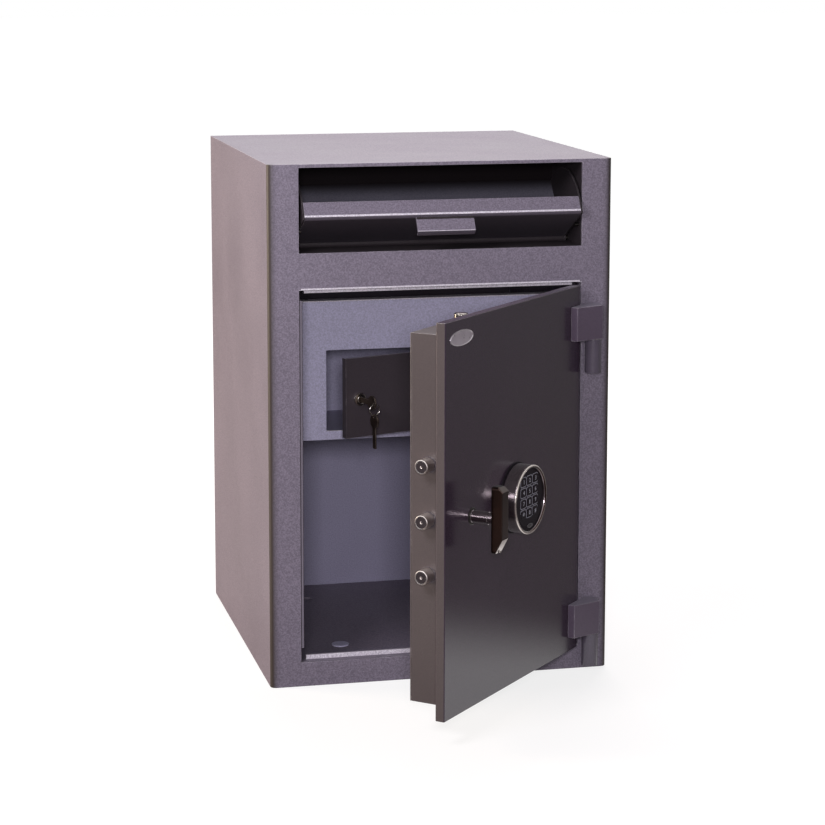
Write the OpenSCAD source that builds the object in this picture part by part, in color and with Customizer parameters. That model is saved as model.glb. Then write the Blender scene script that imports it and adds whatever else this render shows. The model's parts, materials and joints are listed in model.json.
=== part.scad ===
// Drop safe with a tilting deposit hopper, a swinging main door and an inner locker.
// Sizes are millimetres. The origin is the centre of the cabinet base, +Z is up, the front faces -Y.

/* [Cabinet] */
// Outside width of the cabinet
body_w = 480; // [470:5:540]
// Outside depth of the cabinet
body_d = 510; // [490:5:600]
// Outside height of the cabinet
body_h = 720; // [710:5:800]
// Sheet thickness of the cabinet shell
wall_t = 5; // [4:0.5:6]
// Outside radius of the two vertical front edges
edge_r = 8; // [6:1:12]
// Diameter of the anchor holes in the floor
anchor_d = 14; // [10:1:18]
// Distance of the front anchor holes behind the front face
anchor_front = 170; // [120:5:200]
// Distance of the rear anchor holes from the rear
anchor_rear = 80; // [50:5:120]
// Distance of the anchor holes from the cabinet sides
anchor_side = 131; // [60:1:160]

/* [Openings in the front] */
// Width of the cabinet front on each side of both openings
stile_w = 42.5; // [40:0.5:46]
// Height of the door sill above the floor the safe stands on
sill_h = 34; // [30:1:40]
// Height of the cabinet front between the two openings
band_h = 50; // [40:1:60]
// Height of the deposit opening below the top sheet
deposit_h = 115; // [113:1:120]
// Thickness of the steel ring behind the door opening
frame_t = 6; // [4:1:8]
// How far the stop strips at the sides reach into the door opening
stop_reach = 7; // [6:0.5:7.5]
// How far the top and bottom stop strips reach into the door opening
stop_reach_z = 6; // [4:0.5:6.5]
// Thickness of the stop strips
stop_t = 5; // [3:0.5:6]
// Length by which the stop strips fall short of the opening corners
stop_short = 16; // [12:1:20]

/* [Main door] */
// Thickness of the door plate
plate_t = 13; // [10:0.5:14]
// Gap round the closed door plate
door_gap = 2.5; // [2:0.1:3]
// Angle by which the main door stands open
door_open = 47.7; // [40:0.1:100]
// How far the hinge axis stands out of the cabinet front
hinge_out = 12; // [12:0.5:13]
// Distance of the hinge axis from the door opening
hinge_side = 14; // [13:0.5:16]
// Depth of the bolt box behind the door plate
box_depth = 52.5; // [52:0.5:54]
// Setback of the bolt box from the free and hinge edges of the door plate
box_inset = 28.5; // [28:0.5:32]
// Setback of the bolt box from the top of the door plate
box_inset_top = 20; // [19:0.5:22]
// Setback of the bolt box from the bottom of the door plate
box_inset_foot = 11; // [10.5:0.5:14]
// Sheet thickness of the bolt box
box_t = 3; // [2:0.5:4]
// Sheet thickness of the cover at the back of the bolt box
cover_t = 2; // [1.5:0.5:3]
// Distance of the badge from the free edge of the door plate
badge_in = 42.5; // [36:0.5:60]
// Distance of the badge below the top of the door plate
badge_down = 23.5; // [16:0.5:40]
// Length of the blank badge
badge_l = 61; // [40:1:70]
// Height of the blank badge
badge_h = 20; // [14:1:24]

/* [Main door hinges] */
// Radius of the hinge barrels
barrel_r = 11.3; // [10:0.1:11.5]
// Height of each hinge barrel
barrel_h = 47.5; // [40:0.5:55]
// Height of each hinge block on the door
block_h = 47; // [40:0.5:55]
// Height of the lower hinge barrel above the base
lower_hinge_z = 7.5; // [5:0.5:20]
// Distance of the upper hinge barrel's foot below the top of the door opening
upper_hinge_drop = 125; // [110:1:180]
// Radius of the hinge pins
hinge_pin_r = 6; // [5:0.5:7]
// Thickness of the washers between barrels and blocks
washer_t = 1.2; // [0.8:0.1:2]

/* [Boltwork] */
// Diameter of the locking bolts
bolt_d = 19; // [16:0.5:20]
// Distance between neighbouring side bolts
bolt_pitch = 71.5; // [60:0.5:80]
// How far the drawn-in side bolts stand out of the bolt box
bolt_out = 19.5; // [12:0.5:20]
// How far the drawn-in top bolt stands out of the bolt box
top_bolt_out = 15.5; // [10:0.5:16]
// How far the drawn-in bottom bolt stands out of the bolt box
foot_bolt_out = 6.5; // [3:0.5:7]
// Travel of all bolts
bolt_throw = 20; // [16:0.5:20]
// Drop of the handle, keypad and middle bolt below the door middle
works_drop = 3; // [0:0.5:6]
// Distance of the handle axis from the free edge of the door plate
handle_in = 74.5; // [72:0.5:80]
// Distance of the top and bottom bolts from the handle axis
rod_offset = 40; // [38:0.5:44]

/* [Handle] */
// Radius of the handle spindle in front of the door
spindle_r = 8.25; // [6:0.25:9]
// Length of the spindle in front of the door
spindle_out = 31; // [24:0.5:36]
// Width of the handle bar
bar_w = 18; // [17:0.5:22]
// Depth of the handle bar
bar_d = 16; // [12:0.5:18]
// Reach of the handle bar above its axis
bar_up = 43; // [36:1:48]
// Reach of the handle bar below its axis
bar_down = 44; // [40:1:55]

/* [Keypad] */
// Radius of the keypad drum
pad_r = 46; // [45:0.5:50]
// Depth of the keypad drum in front of the door
pad_depth = 24; // [20:0.5:28]
// Width of one key
key_w = 13; // [10:0.5:13.5]
// Height of one key
key_h = 10; // [8:0.5:10.5]
// Distance between key columns
key_pitch_x = 17; // [16:0.25:17.5]
// Distance between key rows
key_pitch_z = 14.5; // [13.5:0.25:14.5]
// Travel of a pressed key
key_travel = 1; // [0.5:0.1:1.2]

/* [Deposit hopper] */
// Distance of the hopper hinge behind the front face
hopper_hinge_in = 73; // [70:0.5:80]
// Gap between the closed hopper and the top sheet
hopper_top_gap = 13.5; // [10:0.5:20]
// Slope of the tray above level while the hopper is open
tray_slope = 26.8; // [24:0.1:30]
// Width of the lip along the front edge of the tray
lip_w = 26; // [18:0.5:30]
// Angle between the tray and the back plate
pocket_angle = 105; // [95:1:108]
// Sheet thickness of the hopper
hopper_t = 2.5; // [1.5:0.1:3]
// Gap between the hopper and each side of its recess
hopper_gap = 3.2; // [2:0.1:5]
// Radius of the hopper hinge rod
rod_r = 4; // [3:0.5:5]
// Width of the pull tab
tab_w = 80; // [60:1:110]
// Length of the pull tab
tab_l = 22; // [15:1:24]
// Sheet thickness of the fixed plates round the hopper
recess_t = 3; // [2:0.5:3.5]

/* [Inner locker] */
// Distance of the locker front behind the cabinet front
locker_in = 175; // [172:1:190]
// Distance of the locker panel below the deposit recess
panel_drop = 91; // [85:0.5:110]
// Height of the locker panel
panel_h = 201.5; // [190:0.5:215]
// Distance of the locker opening from the cabinet side
locker_x = 113.3; // [100:0.1:128]
// Width of the locker opening
locker_w = 212.5; // [200:0.5:215]
// Height of the locker opening
locker_h = 116.7; // [100:0.1:120]
// Height of the panel below the locker opening
locker_rise = 13.3; // [12:0.1:20]
// Depth of the locker box
locker_d = 168; // [120:1:175]
// Angle by which the locker door stands open
locker_open = 19.5; // [15:0.5:30]
// Sheet thickness of the locker
sheet_t = 2; // [1:0.1:2.5]

/* [Hidden] */
$fn = 64;

// Clearances
running = 0.05;
seat = 0.3;
// Overshoot of a cut past the face that it opens
cut = 1;

// Colours
PAINT = "#77727a";
PAINT_DARK = "#4d494f";
LINER = "#8b8a98";
CHROME = "#c9c6c4";
STEEL = "#9b9893";
BLACK = "#232124";

// Openings
opening_w = body_w - 2 * stile_w;
opening_x1 = stile_w + opening_w;
ceiling_z = body_h - wall_t;
recess_z = ceiling_z - deposit_h;
opening_z1 = recess_z - band_h;
opening_h = opening_z1 - sill_h;
frame_back = plate_t + 2;
stops_back = frame_back + stop_t;

// Main door, as it is closed
plate_x0 = stile_w + door_gap;
plate_x1 = opening_x1 - door_gap;
plate_z0 = sill_h + door_gap;
plate_z1 = opening_z1 - door_gap;
hinge_x = opening_x1 + hinge_side;
box_x0 = plate_x0 + box_inset;
box_x1 = plate_x1 - box_inset;
box_z0 = plate_z0 + box_inset_foot;
box_z1 = plate_z1 - box_inset_top;
box_back = plate_t + box_depth;
cover_front = box_back - cover_t;
works_z = (plate_z0 + plate_z1) / 2 - works_drop;
handle_x = plate_x0 + handle_in;
keypad_x = (plate_x0 + plate_x1) / 2;

// Hinges
upper_hinge_z = opening_z1 - upper_hinge_drop;
hinge_lift = 0.2;
block_reach = 46;
block_nose = 16.8;
pin_in_barrel = barrel_h - 9;
pin_in_block = block_h - 6;

// Boltwork, all depths behind the face of the closed door
bolt_y = plate_t + box_depth / 2 - 0.25;
bolt_bevel = 1.5;
bolt_tail = 24;
bolt_inner_x = box_x0 + box_t + bolt_tail;
bolt_tip_x = box_x0 - bolt_out;
bar_plate_t = 6;
rod_x = handle_x + rod_offset;
crank_r = bolt_throw / sqrt(2);
crank_pin_r = 3;
slot_half = crank_pin_r + 0.6;
shaft_r = 5;
disc_r = crank_r + crank_pin_r + 0.4;
fork_y = bolt_y + 1;
fork_t = 4;
case_w = 82;
case_h = 64;
case_depth = 32;
disc_y = fork_y + fork_t + 2;
disc_t = 4.5;
layer_t = 4;
top_layer_y = disc_y + disc_t + 1.5;
bottom_layer_y = top_layer_y + layer_t + 1.5;
rod_w = 16;
lug_h = 17;

// Keypad
rim_r = 2.5;
face_r = pad_r - 5;
face_front = pad_depth - 3.5;
face_t = 6.5;
crescent_up = 16.5;
crescent_t = 0.8;
pad_oval_w = 14;
pad_oval_h = 5;
pad_oval_t = 1.3;
key_gap = 0.3;
key_out = 1.2;
key_t = 4.5;
key_rise = 4;
well_depth = key_t - key_out + key_travel + 0.3;

// Hopper, in depth and height
hopper_rise = 3;
hopper_r = deposit_h - hopper_rise - hopper_top_gap;
hopper_hinge = [hopper_hinge_in, recess_z + hopper_rise];
tray_dir = 180 - tray_slope;
lip_dir = tray_dir - 2 * asin(lip_w / 2 / hopper_r);
back_dir = tray_dir - pocket_angle;
tab_dir = (tray_dir + lip_dir) / 2 + 90;
tab_t = 4.5;
knuckle_r = rod_r + 1.5;
ear_r = rod_r + 4;
hopper_x0 = stile_w + hopper_gap;
hopper_x1 = opening_x1 - hopper_gap;
floor_back = hopper_hinge_in - ear_r - 1;
baffle_back = hopper_r - 26.5;
baffle_y = hopper_hinge_in + baffle_back;
baffle_drop = sqrt(hopper_r * hopper_r - baffle_back * baffle_back);
baffle_gap = 2;
apron_h = 16;
chute_fall = 44;
chute_past_locker = 22;
chute_front_z = recess_z - apron_h;
chute_back = [locker_in + locker_d + chute_past_locker, chute_front_z - chute_fall];
stop_pin_r = 2.5;
stop_pin_at = 60;

// Locker, as its door is closed
panel_z = recess_z - panel_drop - panel_h;
locker_x1 = locker_x + locker_w;
locker_z = panel_z + locker_rise;
locker_z1 = locker_z + locker_h;
locker_gap = 1.5;
leaf_hinge = [locker_x1 - 4.5, locker_in + sheet_t + 2.2];
leaf_pin_r = 1.5;
leaf_flange = 10;
leaf_x0 = locker_x + 1.2;
leaf_x1 = locker_x1 - 2.4;
box_margin = 6;
locker_lock_x = locker_x + 23.5;
locker_lock_z = locker_z + locker_h * 0.48;
lock_r = 9.5;
lock_face_t = 4;
core_r = 5.5;
bow_r = 10;
bow_out = 33.5;
key_sheet_t = 2.2;
ring_r = 7.75;
wire_r = 0.75;
bow_hole_in = 5.5;
bow_hole_out = bow_out + bow_hole_in + 1;
bow_hole_r = 2.5;
spare_blade = 30;
ring_z = locker_lock_z - bow_hole_r + wire_r + 0.2 - ring_r;
spare_hole_z = ring_z - ring_r - bow_hole_r + wire_r + 0.2;

// Places

module cabinet() translate([-body_w / 2, -body_d / 2, 0]) children();

module swung(pivot, angle)
    translate([pivot[0], pivot[1], 0]) rotate([0, 0, angle]) translate([-pivot[0], -pivot[1], 0]) children();

// Door pieces are drawn closed and stand open about the hinge axis
module on_door() cabinet() swung([hinge_x, -hinge_out], door_open) children();

module on_locker_door() cabinet() swung(leaf_hinge, locker_open) children();

// Shapes

module rounded_square(w, h, r) {
    translate([r, 0]) square([w - 2 * r, h]);
    translate([0, r]) square([w, h - 2 * r]);
    for (x = [r, w - r], y = [r, h - r]) translate([x, y]) circle(r);
}

module centred_plate(w, h, r) translate([-w / 2, -h / 2]) rounded_square(w, h, r);

// A front view outline made solid from depth y0 to y1
module through(y0, y1) translate([0, y1, 0]) rotate([90, 0, 0]) linear_extrude(y1 - y0) children();

// A side view outline, depth and height, made solid from x0 to x1
module across(x0, x1) translate([x0, 0, 0]) rotate([90, 0, 90]) linear_extrude(x1 - x0) children();

module block(from, to) translate(from) cube(to - from);

module pin_y(x, z, r, y0, y1) translate([x, y1, z]) rotate([90, 0, 0]) cylinder(r = r, h = y1 - y0);

module pin_x(y, z, r, x0, x1) translate([x0, y, z]) rotate([0, 90, 0]) cylinder(r = r, h = x1 - x0);

function left_of(a, b) = let (d = (b - a) / norm(b - a)) [-d[1], d[0]];

function shifted(p, i, t) =
    let (before = left_of(p[max(i - 1, 0)], p[max(i, 1)]),
         after = i < len(p) - 1 ? left_of(p[i], p[i + 1]) : before,
         both = before + after)
    p[i] + both * (2 * t / (both * both));

// A folded sheet of thickness t, to the left of its path
module folded(path, t)
    polygon(concat(path, [for (i = [len(path) - 1:-1:0]) shifted(path, i, t)]));

function polar(r, a) = [r * cos(a), r * sin(a)];

// Cabinet

module cabinet_outline() {
    translate([0, edge_r]) square([body_w, body_d - edge_r]);
    translate([edge_r, 0]) square([body_w - 2 * edge_r, body_d]);
    for (x = [edge_r, body_w - edge_r]) translate([x, edge_r]) circle(edge_r);
}

module anchor_holes(rows) {
    for (x = [anchor_side, body_w - anchor_side], y = rows)
        translate([x, y, -cut]) cylinder(d = anchor_d, h = wall_t + 2 * cut);
}

module cabinet_shell() color(PAINT) cabinet() difference() {
    linear_extrude(body_h) cabinet_outline();
    block([wall_t, wall_t, wall_t], [body_w - wall_t, body_d + cut, ceiling_z]);
    block([stile_w, -cut, sill_h], [opening_x1, wall_t + cut, opening_z1]);
    block([stile_w, -cut, recess_z], [opening_x1, wall_t + cut, ceiling_z]);
    anchor_holes([anchor_front, body_d - anchor_rear]);
}

module back_panel() color(PAINT) cabinet()
    block([wall_t, body_d - wall_t, wall_t], [body_w - wall_t, body_d, ceiling_z]);

module door_frame() color(PAINT) cabinet() through(wall_t, frame_back) difference() {
    translate([stile_w - frame_t, sill_h - frame_t])
        square([opening_w + 2 * frame_t, opening_h + 2 * frame_t]);
    translate([stile_w, sill_h]) square([opening_w, opening_h]);
}

module door_stops() color(PAINT) cabinet() through(frame_back, stops_back) {
    side_h = opening_h - 2 * stop_short;
    inner_w = opening_w - 2 * (stop_reach + 1.5);
    for (x = [stile_w - frame_t, opening_x1 - stop_reach])
        translate([x, sill_h + stop_short]) square([frame_t + stop_reach, side_h]);
    for (z = [sill_h - frame_t, opening_z1 - stop_reach_z])
        translate([stile_w + stop_reach + 1.5, z]) square([inner_w, frame_t + stop_reach_z]);
}

module floor_plugs() color(LINER) cabinet() for (x = [anchor_side, body_w - anchor_side])
    translate([x, anchor_front, 0]) {
        translate([0, 0, 1]) cylinder(d = anchor_d - 2 * running, h = wall_t - 1);
        translate([0, 0, wall_t]) cylinder(d = anchor_d + 11, h = 2);
    }

// Main door hinges

module hinge_barrels() color(PAINT) cabinet() for (z = [lower_hinge_z, upper_hinge_z])
    translate([hinge_x, -hinge_out, z]) difference() {
        union() {
            cylinder(r = barrel_r, h = barrel_h);
            translate([-8, 0, 4]) cube([16, hinge_out, barrel_h - 8]);
        }
        translate([0, 0, barrel_h - pin_in_barrel - 2])
            cylinder(r = hinge_pin_r + running, h = pin_in_barrel + 2 + cut);
    }

module hinge_washers() color(CHROME) cabinet() for (z = [lower_hinge_z, upper_hinge_z])
    translate([hinge_x, -hinge_out, z + barrel_h]) difference() {
        cylinder(r = barrel_r - 0.3, h = washer_t);
        translate([0, 0, -cut]) cylinder(r = hinge_pin_r + running, h = washer_t + 2 * cut);
    }

// Plan of a hinge block about the hinge axis, with its door side to the left
module hinge_block_plan() {
    neck_x = 1 - hinge_side - door_gap;
    neck_y = barrel_r - 0.6;
    polygon([
        [-block_reach, hinge_out], [-block_reach, 2], [-4.3, -block_nose], polar(0.75 * barrel_r, -45),
        [0, neck_y], [neck_x, neck_y], [neck_x, hinge_out]
    ]);
    circle(barrel_r);
}

module hinge_block(z) color(PAINT_DARK) on_door()
    translate([hinge_x, -hinge_out, z + barrel_h + washer_t + hinge_lift]) difference() {
        linear_extrude(block_h) hinge_block_plan();
        translate([0, 0, -cut]) cylinder(r = hinge_pin_r + running, h = pin_in_block + cut);
    }

module hinge_block_upper() hinge_block(upper_hinge_z);

module hinge_block_lower() hinge_block(lower_hinge_z);

module hinge_pins() color(STEEL) on_door() for (z = [lower_hinge_z, upper_hinge_z])
    translate([hinge_x, -hinge_out, z + barrel_h - pin_in_barrel])
        cylinder(r = hinge_pin_r, h = pin_in_barrel + washer_t + hinge_lift + pin_in_block);

// Deposit recess and chute

module recess_sides() color(PAINT) cabinet() for (x = [stile_w - recess_t, opening_x1])
    difference() {
        block([x, wall_t, chute_front_z], [x + recess_t, baffle_y + recess_t, ceiling_z]);
        pin_x(hopper_hinge[0], hopper_hinge[1], rod_r + running, x - cut, x + recess_t + cut);
        stop_pin_hole(x);
    }

function stop_pin_centre() =
    hopper_hinge + polar(stop_pin_at, tray_dir) + polar(stop_pin_r + seat, tray_dir + 90);

module stop_pin_hole(x)
    pin_x(stop_pin_centre()[0], stop_pin_centre()[1], stop_pin_r, x - cut, x + recess_t + cut);

module hopper_stop_pins() color(STEEL) cabinet() {
    length = recess_t + hopper_gap + hopper_t;
    for (x = [stile_w - recess_t, opening_x1 + recess_t - length])
        pin_x(stop_pin_centre()[0], stop_pin_centre()[1], stop_pin_r, x, x + length);
}

module recess_floor() color(PAINT_DARK) cabinet() across(stile_w, opening_x1)
    folded([[floor_back, chute_front_z], [floor_back, recess_z], [wall_t, recess_z]], recess_t);

module throat_baffle() color(PAINT_DARK) cabinet()
    block([stile_w, baffle_y, hopper_hinge[1] + baffle_drop + baffle_gap],
        [opening_x1, baffle_y + recess_t, ceiling_z]);

module deposit_chute() color(PAINT_DARK) cabinet() across(wall_t, body_w - wall_t)
    folded([chute_back, [floor_back - recess_t, chute_front_z]], sheet_t);

module hopper_rod() color(STEEL) cabinet()
    pin_x(hopper_hinge[0], hopper_hinge[1], rod_r, stile_w - recess_t - 1, opening_x1 + recess_t + 1);

// Hopper, drawn in its open place

module from_hinge() translate(hopper_hinge) children();

module hopper_tray() color(PAINT) cabinet() across(hopper_x0 + hopper_t, hopper_x1 - hopper_t)
    from_hinge() folded([polar(knuckle_r, tray_dir), polar(hopper_r, tray_dir), polar(hopper_r, lip_dir)],
        -hopper_t);

module hopper_back() color(PAINT) cabinet() across(hopper_x0 + hopper_t, hopper_x1 - hopper_t)
    from_hinge() difference() {
        union() {
            folded([polar(rod_r + 1, back_dir), polar(hopper_r, back_dir)], hopper_t);
            circle(knuckle_r);
        }
        circle(rod_r + running);
    }

module cheek_outline() {
    far = 1.5 * hopper_r;
    difference() {
        union() {
            intersection() {
                circle(hopper_r);
                polygon([[0, 0], polar(hopper_r, tray_dir), polar(hopper_r, lip_dir), polar(far, lip_dir),
                    polar(far, (lip_dir + back_dir) / 2), polar(far, back_dir)]);
            }
            circle(ear_r);
        }
        circle(rod_r + running);
    }
}

module hopper_cheeks() color(PAINT) cabinet() for (x = [hopper_x0, hopper_x1 - hopper_t])
    across(x, x + hopper_t) from_hinge() cheek_outline();

// The tab carries the plane of the lip on past the fold of the tray
module pull_tab() color(PAINT) cabinet() {
    middle = (stile_w + opening_x1) / 2;
    ridge = polar(hopper_r, tray_dir);
    foot = ridge + polar(tab_l, tab_dir);
    across(middle - tab_w / 2, middle + tab_w / 2) from_hinge() polygon([
        ridge, foot, foot + polar(tab_t, tab_dir + 90),
        ridge + polar(tab_t / cos(tray_dir - tab_dir + 90), tray_dir + 180)
    ]);
}

// Main door

module door_plate() color(PAINT_DARK) on_door() difference() {
    translate([0, 0, plate_z0]) linear_extrude(plate_z1 - plate_z0)
        translate([plate_x0, 0]) rounded_square(plate_x1 - plate_x0, plate_t, 1.5);
    pin_y(handle_x, works_z, spindle_r + 3, -cut, plate_t + cut);
}

module box_outline(inset)
    translate([box_x0 + inset, box_z0 + inset])
        square([box_x1 - box_x0 - 2 * inset, box_z1 - box_z0 - 2 * inset]);

module bolt_hole_r(x, z0, z1)
    translate([x, bolt_y, z0]) cylinder(d = bolt_d + 2 * running, h = z1 - z0);

module bolt_box() color(PAINT_DARK) on_door() difference() {
    through(plate_t, cover_front) difference() {
        box_outline(0);
        box_outline(box_t);
    }
    for (i = [-1:1])
        pin_x(bolt_y, works_z + i * bolt_pitch, bolt_d / 2 + running, box_x0 - cut, box_x0 + box_t + cut);
    bolt_hole_r(rod_x, box_z1 - box_t - cut, box_z1 + cut);
    bolt_hole_r(rod_x, box_z0 - cut, box_z0 + box_t + cut);
}

module back_cover() color(PAINT_DARK) on_door() through(cover_front, box_back) box_outline(0);

module door_badge() color(CHROME) on_door() through(-1.2, 0)
    translate([plate_x0 + badge_in, plate_z1 - badge_down])
        polygon([for (a = [0:6:354]) [badge_l / 2 * cos(a), badge_h / 2 * sin(a)]]);

module spindle_bush() color(STEEL) on_door() difference() {
    pin_y(handle_x, works_z, spindle_r + 3, 0, plate_t);
    pin_y(handle_x, works_z, spindle_r + running, -cut, plate_t + cut);
}

module lock_case() color(STEEL) on_door()
    block([keypad_x - case_w / 2 - 1, plate_t, works_z - case_h / 2],
        [keypad_x + case_w / 2 - 1, plate_t + case_depth, works_z + case_h / 2]);

// Handle

module handle_bar() color(CHROME) on_door() intersection() {
    across(handle_x - bar_w / 2, handle_x + bar_w / 2) translate([-spindle_out, works_z]) polygon([
        [0, bar_up], [6 - bar_d, bar_up], [-bar_d, bar_up - 6],
        [-bar_d, 19 - bar_down], [10 - bar_d, -bar_down], [0, -bar_down]
    ]);
    through(-spindle_out - bar_d - cut, -spindle_out + cut)
        translate([handle_x - bar_w / 2, works_z - bar_down]) rounded_square(bar_w, bar_up + bar_down, 4);
}

module handle_spindle() color(CHROME) on_door() {
    pin_y(handle_x, works_z, spindle_r, -spindle_out, plate_t);
    pin_y(handle_x, works_z, shaft_r, plate_t, disc_y);
}

module crank_pin(angle, y0, y1)
    pin_y(handle_x + crank_r * cos(angle), works_z + crank_r * sin(angle), crank_pin_r, y0, y1);

module cam_disc() color(STEEL) on_door() {
    pin_y(handle_x, works_z, disc_r, disc_y, disc_y + disc_t);
    crank_pin(45, fork_y - 0.5, disc_y);
    crank_pin(-45, disc_y + disc_t, top_layer_y + layer_t + 0.5);
    crank_pin(135, disc_y + disc_t, bottom_layer_y + layer_t + 0.5);
}

// Bolts

// A bolt along +Z with a bevelled tip at its top
module bolt(length) {
    cylinder(d = bolt_d, h = length - bolt_bevel);
    translate([0, 0, length - bolt_bevel])
        cylinder(d1 = bolt_d, d2 = bolt_d - 2 * bolt_bevel, h = bolt_bevel);
}

module side_bolts() color(CHROME) on_door() for (i = [-1:1])
    translate([bolt_inner_x, bolt_y, works_z + i * bolt_pitch]) rotate([0, -90, 0])
        bolt(bolt_inner_x - bolt_tip_x);

module bolt_bar() color(STEEL) on_door() difference() {
    half = bolt_pitch + bolt_d / 2 + 2;
    pin_x0 = handle_x + crank_r * cos(45);
    pin_z = works_z + crank_r * sin(45);
    fork_z = works_z + shaft_r + 1;
    union() {
        block([bolt_inner_x, fork_y - 9, works_z - half],
            [bolt_inner_x + bar_plate_t, fork_y + fork_t, works_z + half]);
        block([bolt_inner_x + bar_plate_t, fork_y, fork_z],
            [pin_x0 + slot_half + 4, fork_y + fork_t, pin_z + 13]);
    }
    block([pin_x0 - slot_half, fork_y - cut, fork_z - cut],
        [pin_x0 + slot_half, fork_y + fork_t + cut, pin_z + 9]);
}

module top_bolt() color(CHROME) on_door() difference() {
    pin_x0 = handle_x + crank_r * cos(45);
    pin_z = works_z - crank_r * sin(45);
    foot = box_z1 - box_t - bolt_tail;
    lug_x = handle_x + disc_r + 4;
    union() {
        translate([rod_x, bolt_y, foot]) bolt(box_z1 + top_bolt_out - foot);
        block([rod_x - rod_w / 2, bolt_y + 1, pin_z - lug_h / 2], [rod_x + rod_w / 2, bolt_y + 5, foot]);
        block([lug_x, bolt_y + 1, pin_z - lug_h / 2],
            [rod_x + rod_w / 2, top_layer_y + layer_t, pin_z + lug_h / 2]);
        block([pin_x0 - slot_half, top_layer_y, pin_z - lug_h / 2],
            [lug_x, top_layer_y + layer_t, pin_z + lug_h / 2]);
    }
    block([pin_x0 - slot_half - cut, top_layer_y - cut, pin_z - slot_half],
        [pin_x0 + crank_r / 2 + slot_half, top_layer_y + layer_t + cut, pin_z + slot_half]);
}

module bottom_bolt() color(CHROME) on_door() difference() {
    pin_x0 = handle_x - crank_r * cos(45);
    pin_z = works_z + crank_r * sin(45);
    head = box_z0 + box_t + bolt_tail;
    y0 = bottom_layer_y;
    y1 = bottom_layer_y + layer_t;
    union() {
        translate([rod_x, bolt_y, head]) rotate([180, 0, 0]) bolt(head - box_z0 + foot_bolt_out);
        block([rod_x - rod_w / 2, bolt_y, head - 2], [rod_x + rod_w / 2, y1, head + 8]);
        block([rod_x - rod_w / 2, y0, head + 8], [rod_x + rod_w / 2, y1, pin_z + lug_h / 2]);
        block([pin_x0 - crank_r / 2 - slot_half - 3, y0, pin_z - lug_h / 2],
            [rod_x - rod_w / 2, y1, pin_z + lug_h / 2]);
    }
    block([pin_x0 - crank_r / 2 - slot_half, y0 - cut, pin_z - slot_half],
        [pin_x0 + slot_half, y1 + cut, pin_z + slot_half]);
}

// Keypad

module on_keypad() translate([keypad_x, 0, works_z]) rotate([90, 0, 0]) children();

function key_place(column, row) =
    [(column - 1) * key_pitch_x, (1.5 - row) * key_pitch_z + key_rise];

module keypad_housing() color(CHROME) on_door() on_keypad() rotate_extrude() {
    translate([face_r - 3, 0]) square([pad_r - face_r + 3, face_front - face_t]);
    translate([face_r, 0]) square([pad_r - face_r, pad_depth - rim_r]);
    translate([pad_r - rim_r, pad_depth - rim_r]) circle(rim_r);
}

// The face has a well for each key and a raised crescent with a blank oval below them
module keypad_face() color(BLACK) on_door() on_keypad() difference() {
    union() {
        translate([0, 0, face_front - face_t]) cylinder(r = face_r - 0.1, h = face_t);
        translate([0, 0, face_front]) linear_extrude(crescent_t) difference() {
            circle(face_r - 3.5);
            translate([0, crescent_up]) circle(face_r);
        }
        translate([0, 6 - face_r, face_front]) linear_extrude(pad_oval_t)
            centred_plate(pad_oval_w, pad_oval_h, pad_oval_h / 2 - 0.1);
    }
    for (column = [0:2], row = [0:3])
        translate(concat(key_place(column, row), face_front - well_depth))
            linear_extrude(well_depth + cut) centred_plate(key_w + 2 * key_gap, key_h + 2 * key_gap, 2.3);
}

module keypad_key(column, row) color(BLACK) on_door() on_keypad()
    translate(concat(key_place(column, row), face_front + key_out - key_t))
        linear_extrude(key_t) centred_plate(key_w, key_h, 2);

// Locker

module locker_opening() translate([locker_x, locker_z]) square([locker_w, locker_h]);

module locker_panel() color(LINER) cabinet() difference() {
    across(wall_t, body_w - wall_t) folded([
        [locker_in + 20, panel_z], [locker_in, panel_z],
        [locker_in, panel_z + panel_h], [locker_in + 20, panel_z + panel_h]
    ], -sheet_t);
    through(locker_in - cut, locker_in + sheet_t + cut) locker_opening();
}

module locker_box_outline(grow) translate([locker_x - box_margin - grow, locker_z - 3 - grow])
    square([locker_w + 2 * (box_margin + grow), locker_h + 10 + 2 * grow]);

module locker_box() color(PAINT_DARK) cabinet() {
    back = locker_in + locker_d;
    through(locker_in + sheet_t, back) difference() {
        locker_box_outline(sheet_t);
        locker_box_outline(0);
    }
    through(back - sheet_t, back) locker_box_outline(sheet_t);
}

module locker_hinge_brackets() color(STEEL) cabinet() for (z = [locker_z - 2.8, locker_z1 + 0.5])
    difference() {
        block([leaf_hinge[0] - 6, locker_in + sheet_t, z], [leaf_hinge[0] + 7, locker_in + 11, z + 3]);
        translate([leaf_hinge[0], leaf_hinge[1], z - cut]) cylinder(r = leaf_pin_r + running, h = 3 + 2 * cut);
    }

module locker_hinge_pins() color(STEEL) on_locker_door()
    for (z = [locker_z - 2.3, locker_z1 - locker_gap - 3])
        translate([leaf_hinge[0], leaf_hinge[1], z]) cylinder(r = leaf_pin_r, h = 6.3);

module locker_door() color(PAINT_DARK) on_locker_door() difference() {
    z0 = locker_z + locker_gap;
    z1 = locker_z1 - locker_gap;
    union() {
        block([leaf_x0, locker_in, z0], [leaf_x1, locker_in + 1, z1]);
        block([leaf_x0, locker_in, z0], [leaf_x0 + sheet_t, locker_in + leaf_flange, z1]);
        for (z = [z0, z1 - sheet_t])
            block([leaf_x0, locker_in, z], [leaf_x1, locker_in + 6, z + sheet_t]);
        block([leaf_x1 - 5.5, locker_in, z0], [leaf_x1, locker_in + 7, z1]);
    }
    pin_y(locker_lock_x, locker_lock_z, core_r + 2.5, locker_in - cut, locker_in + 1 + cut);
    for (z = [z0 - cut, z1 - 4])
        translate([leaf_hinge[0], leaf_hinge[1], z]) cylinder(r = leaf_pin_r + running, h = 4 + cut);
}

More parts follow.
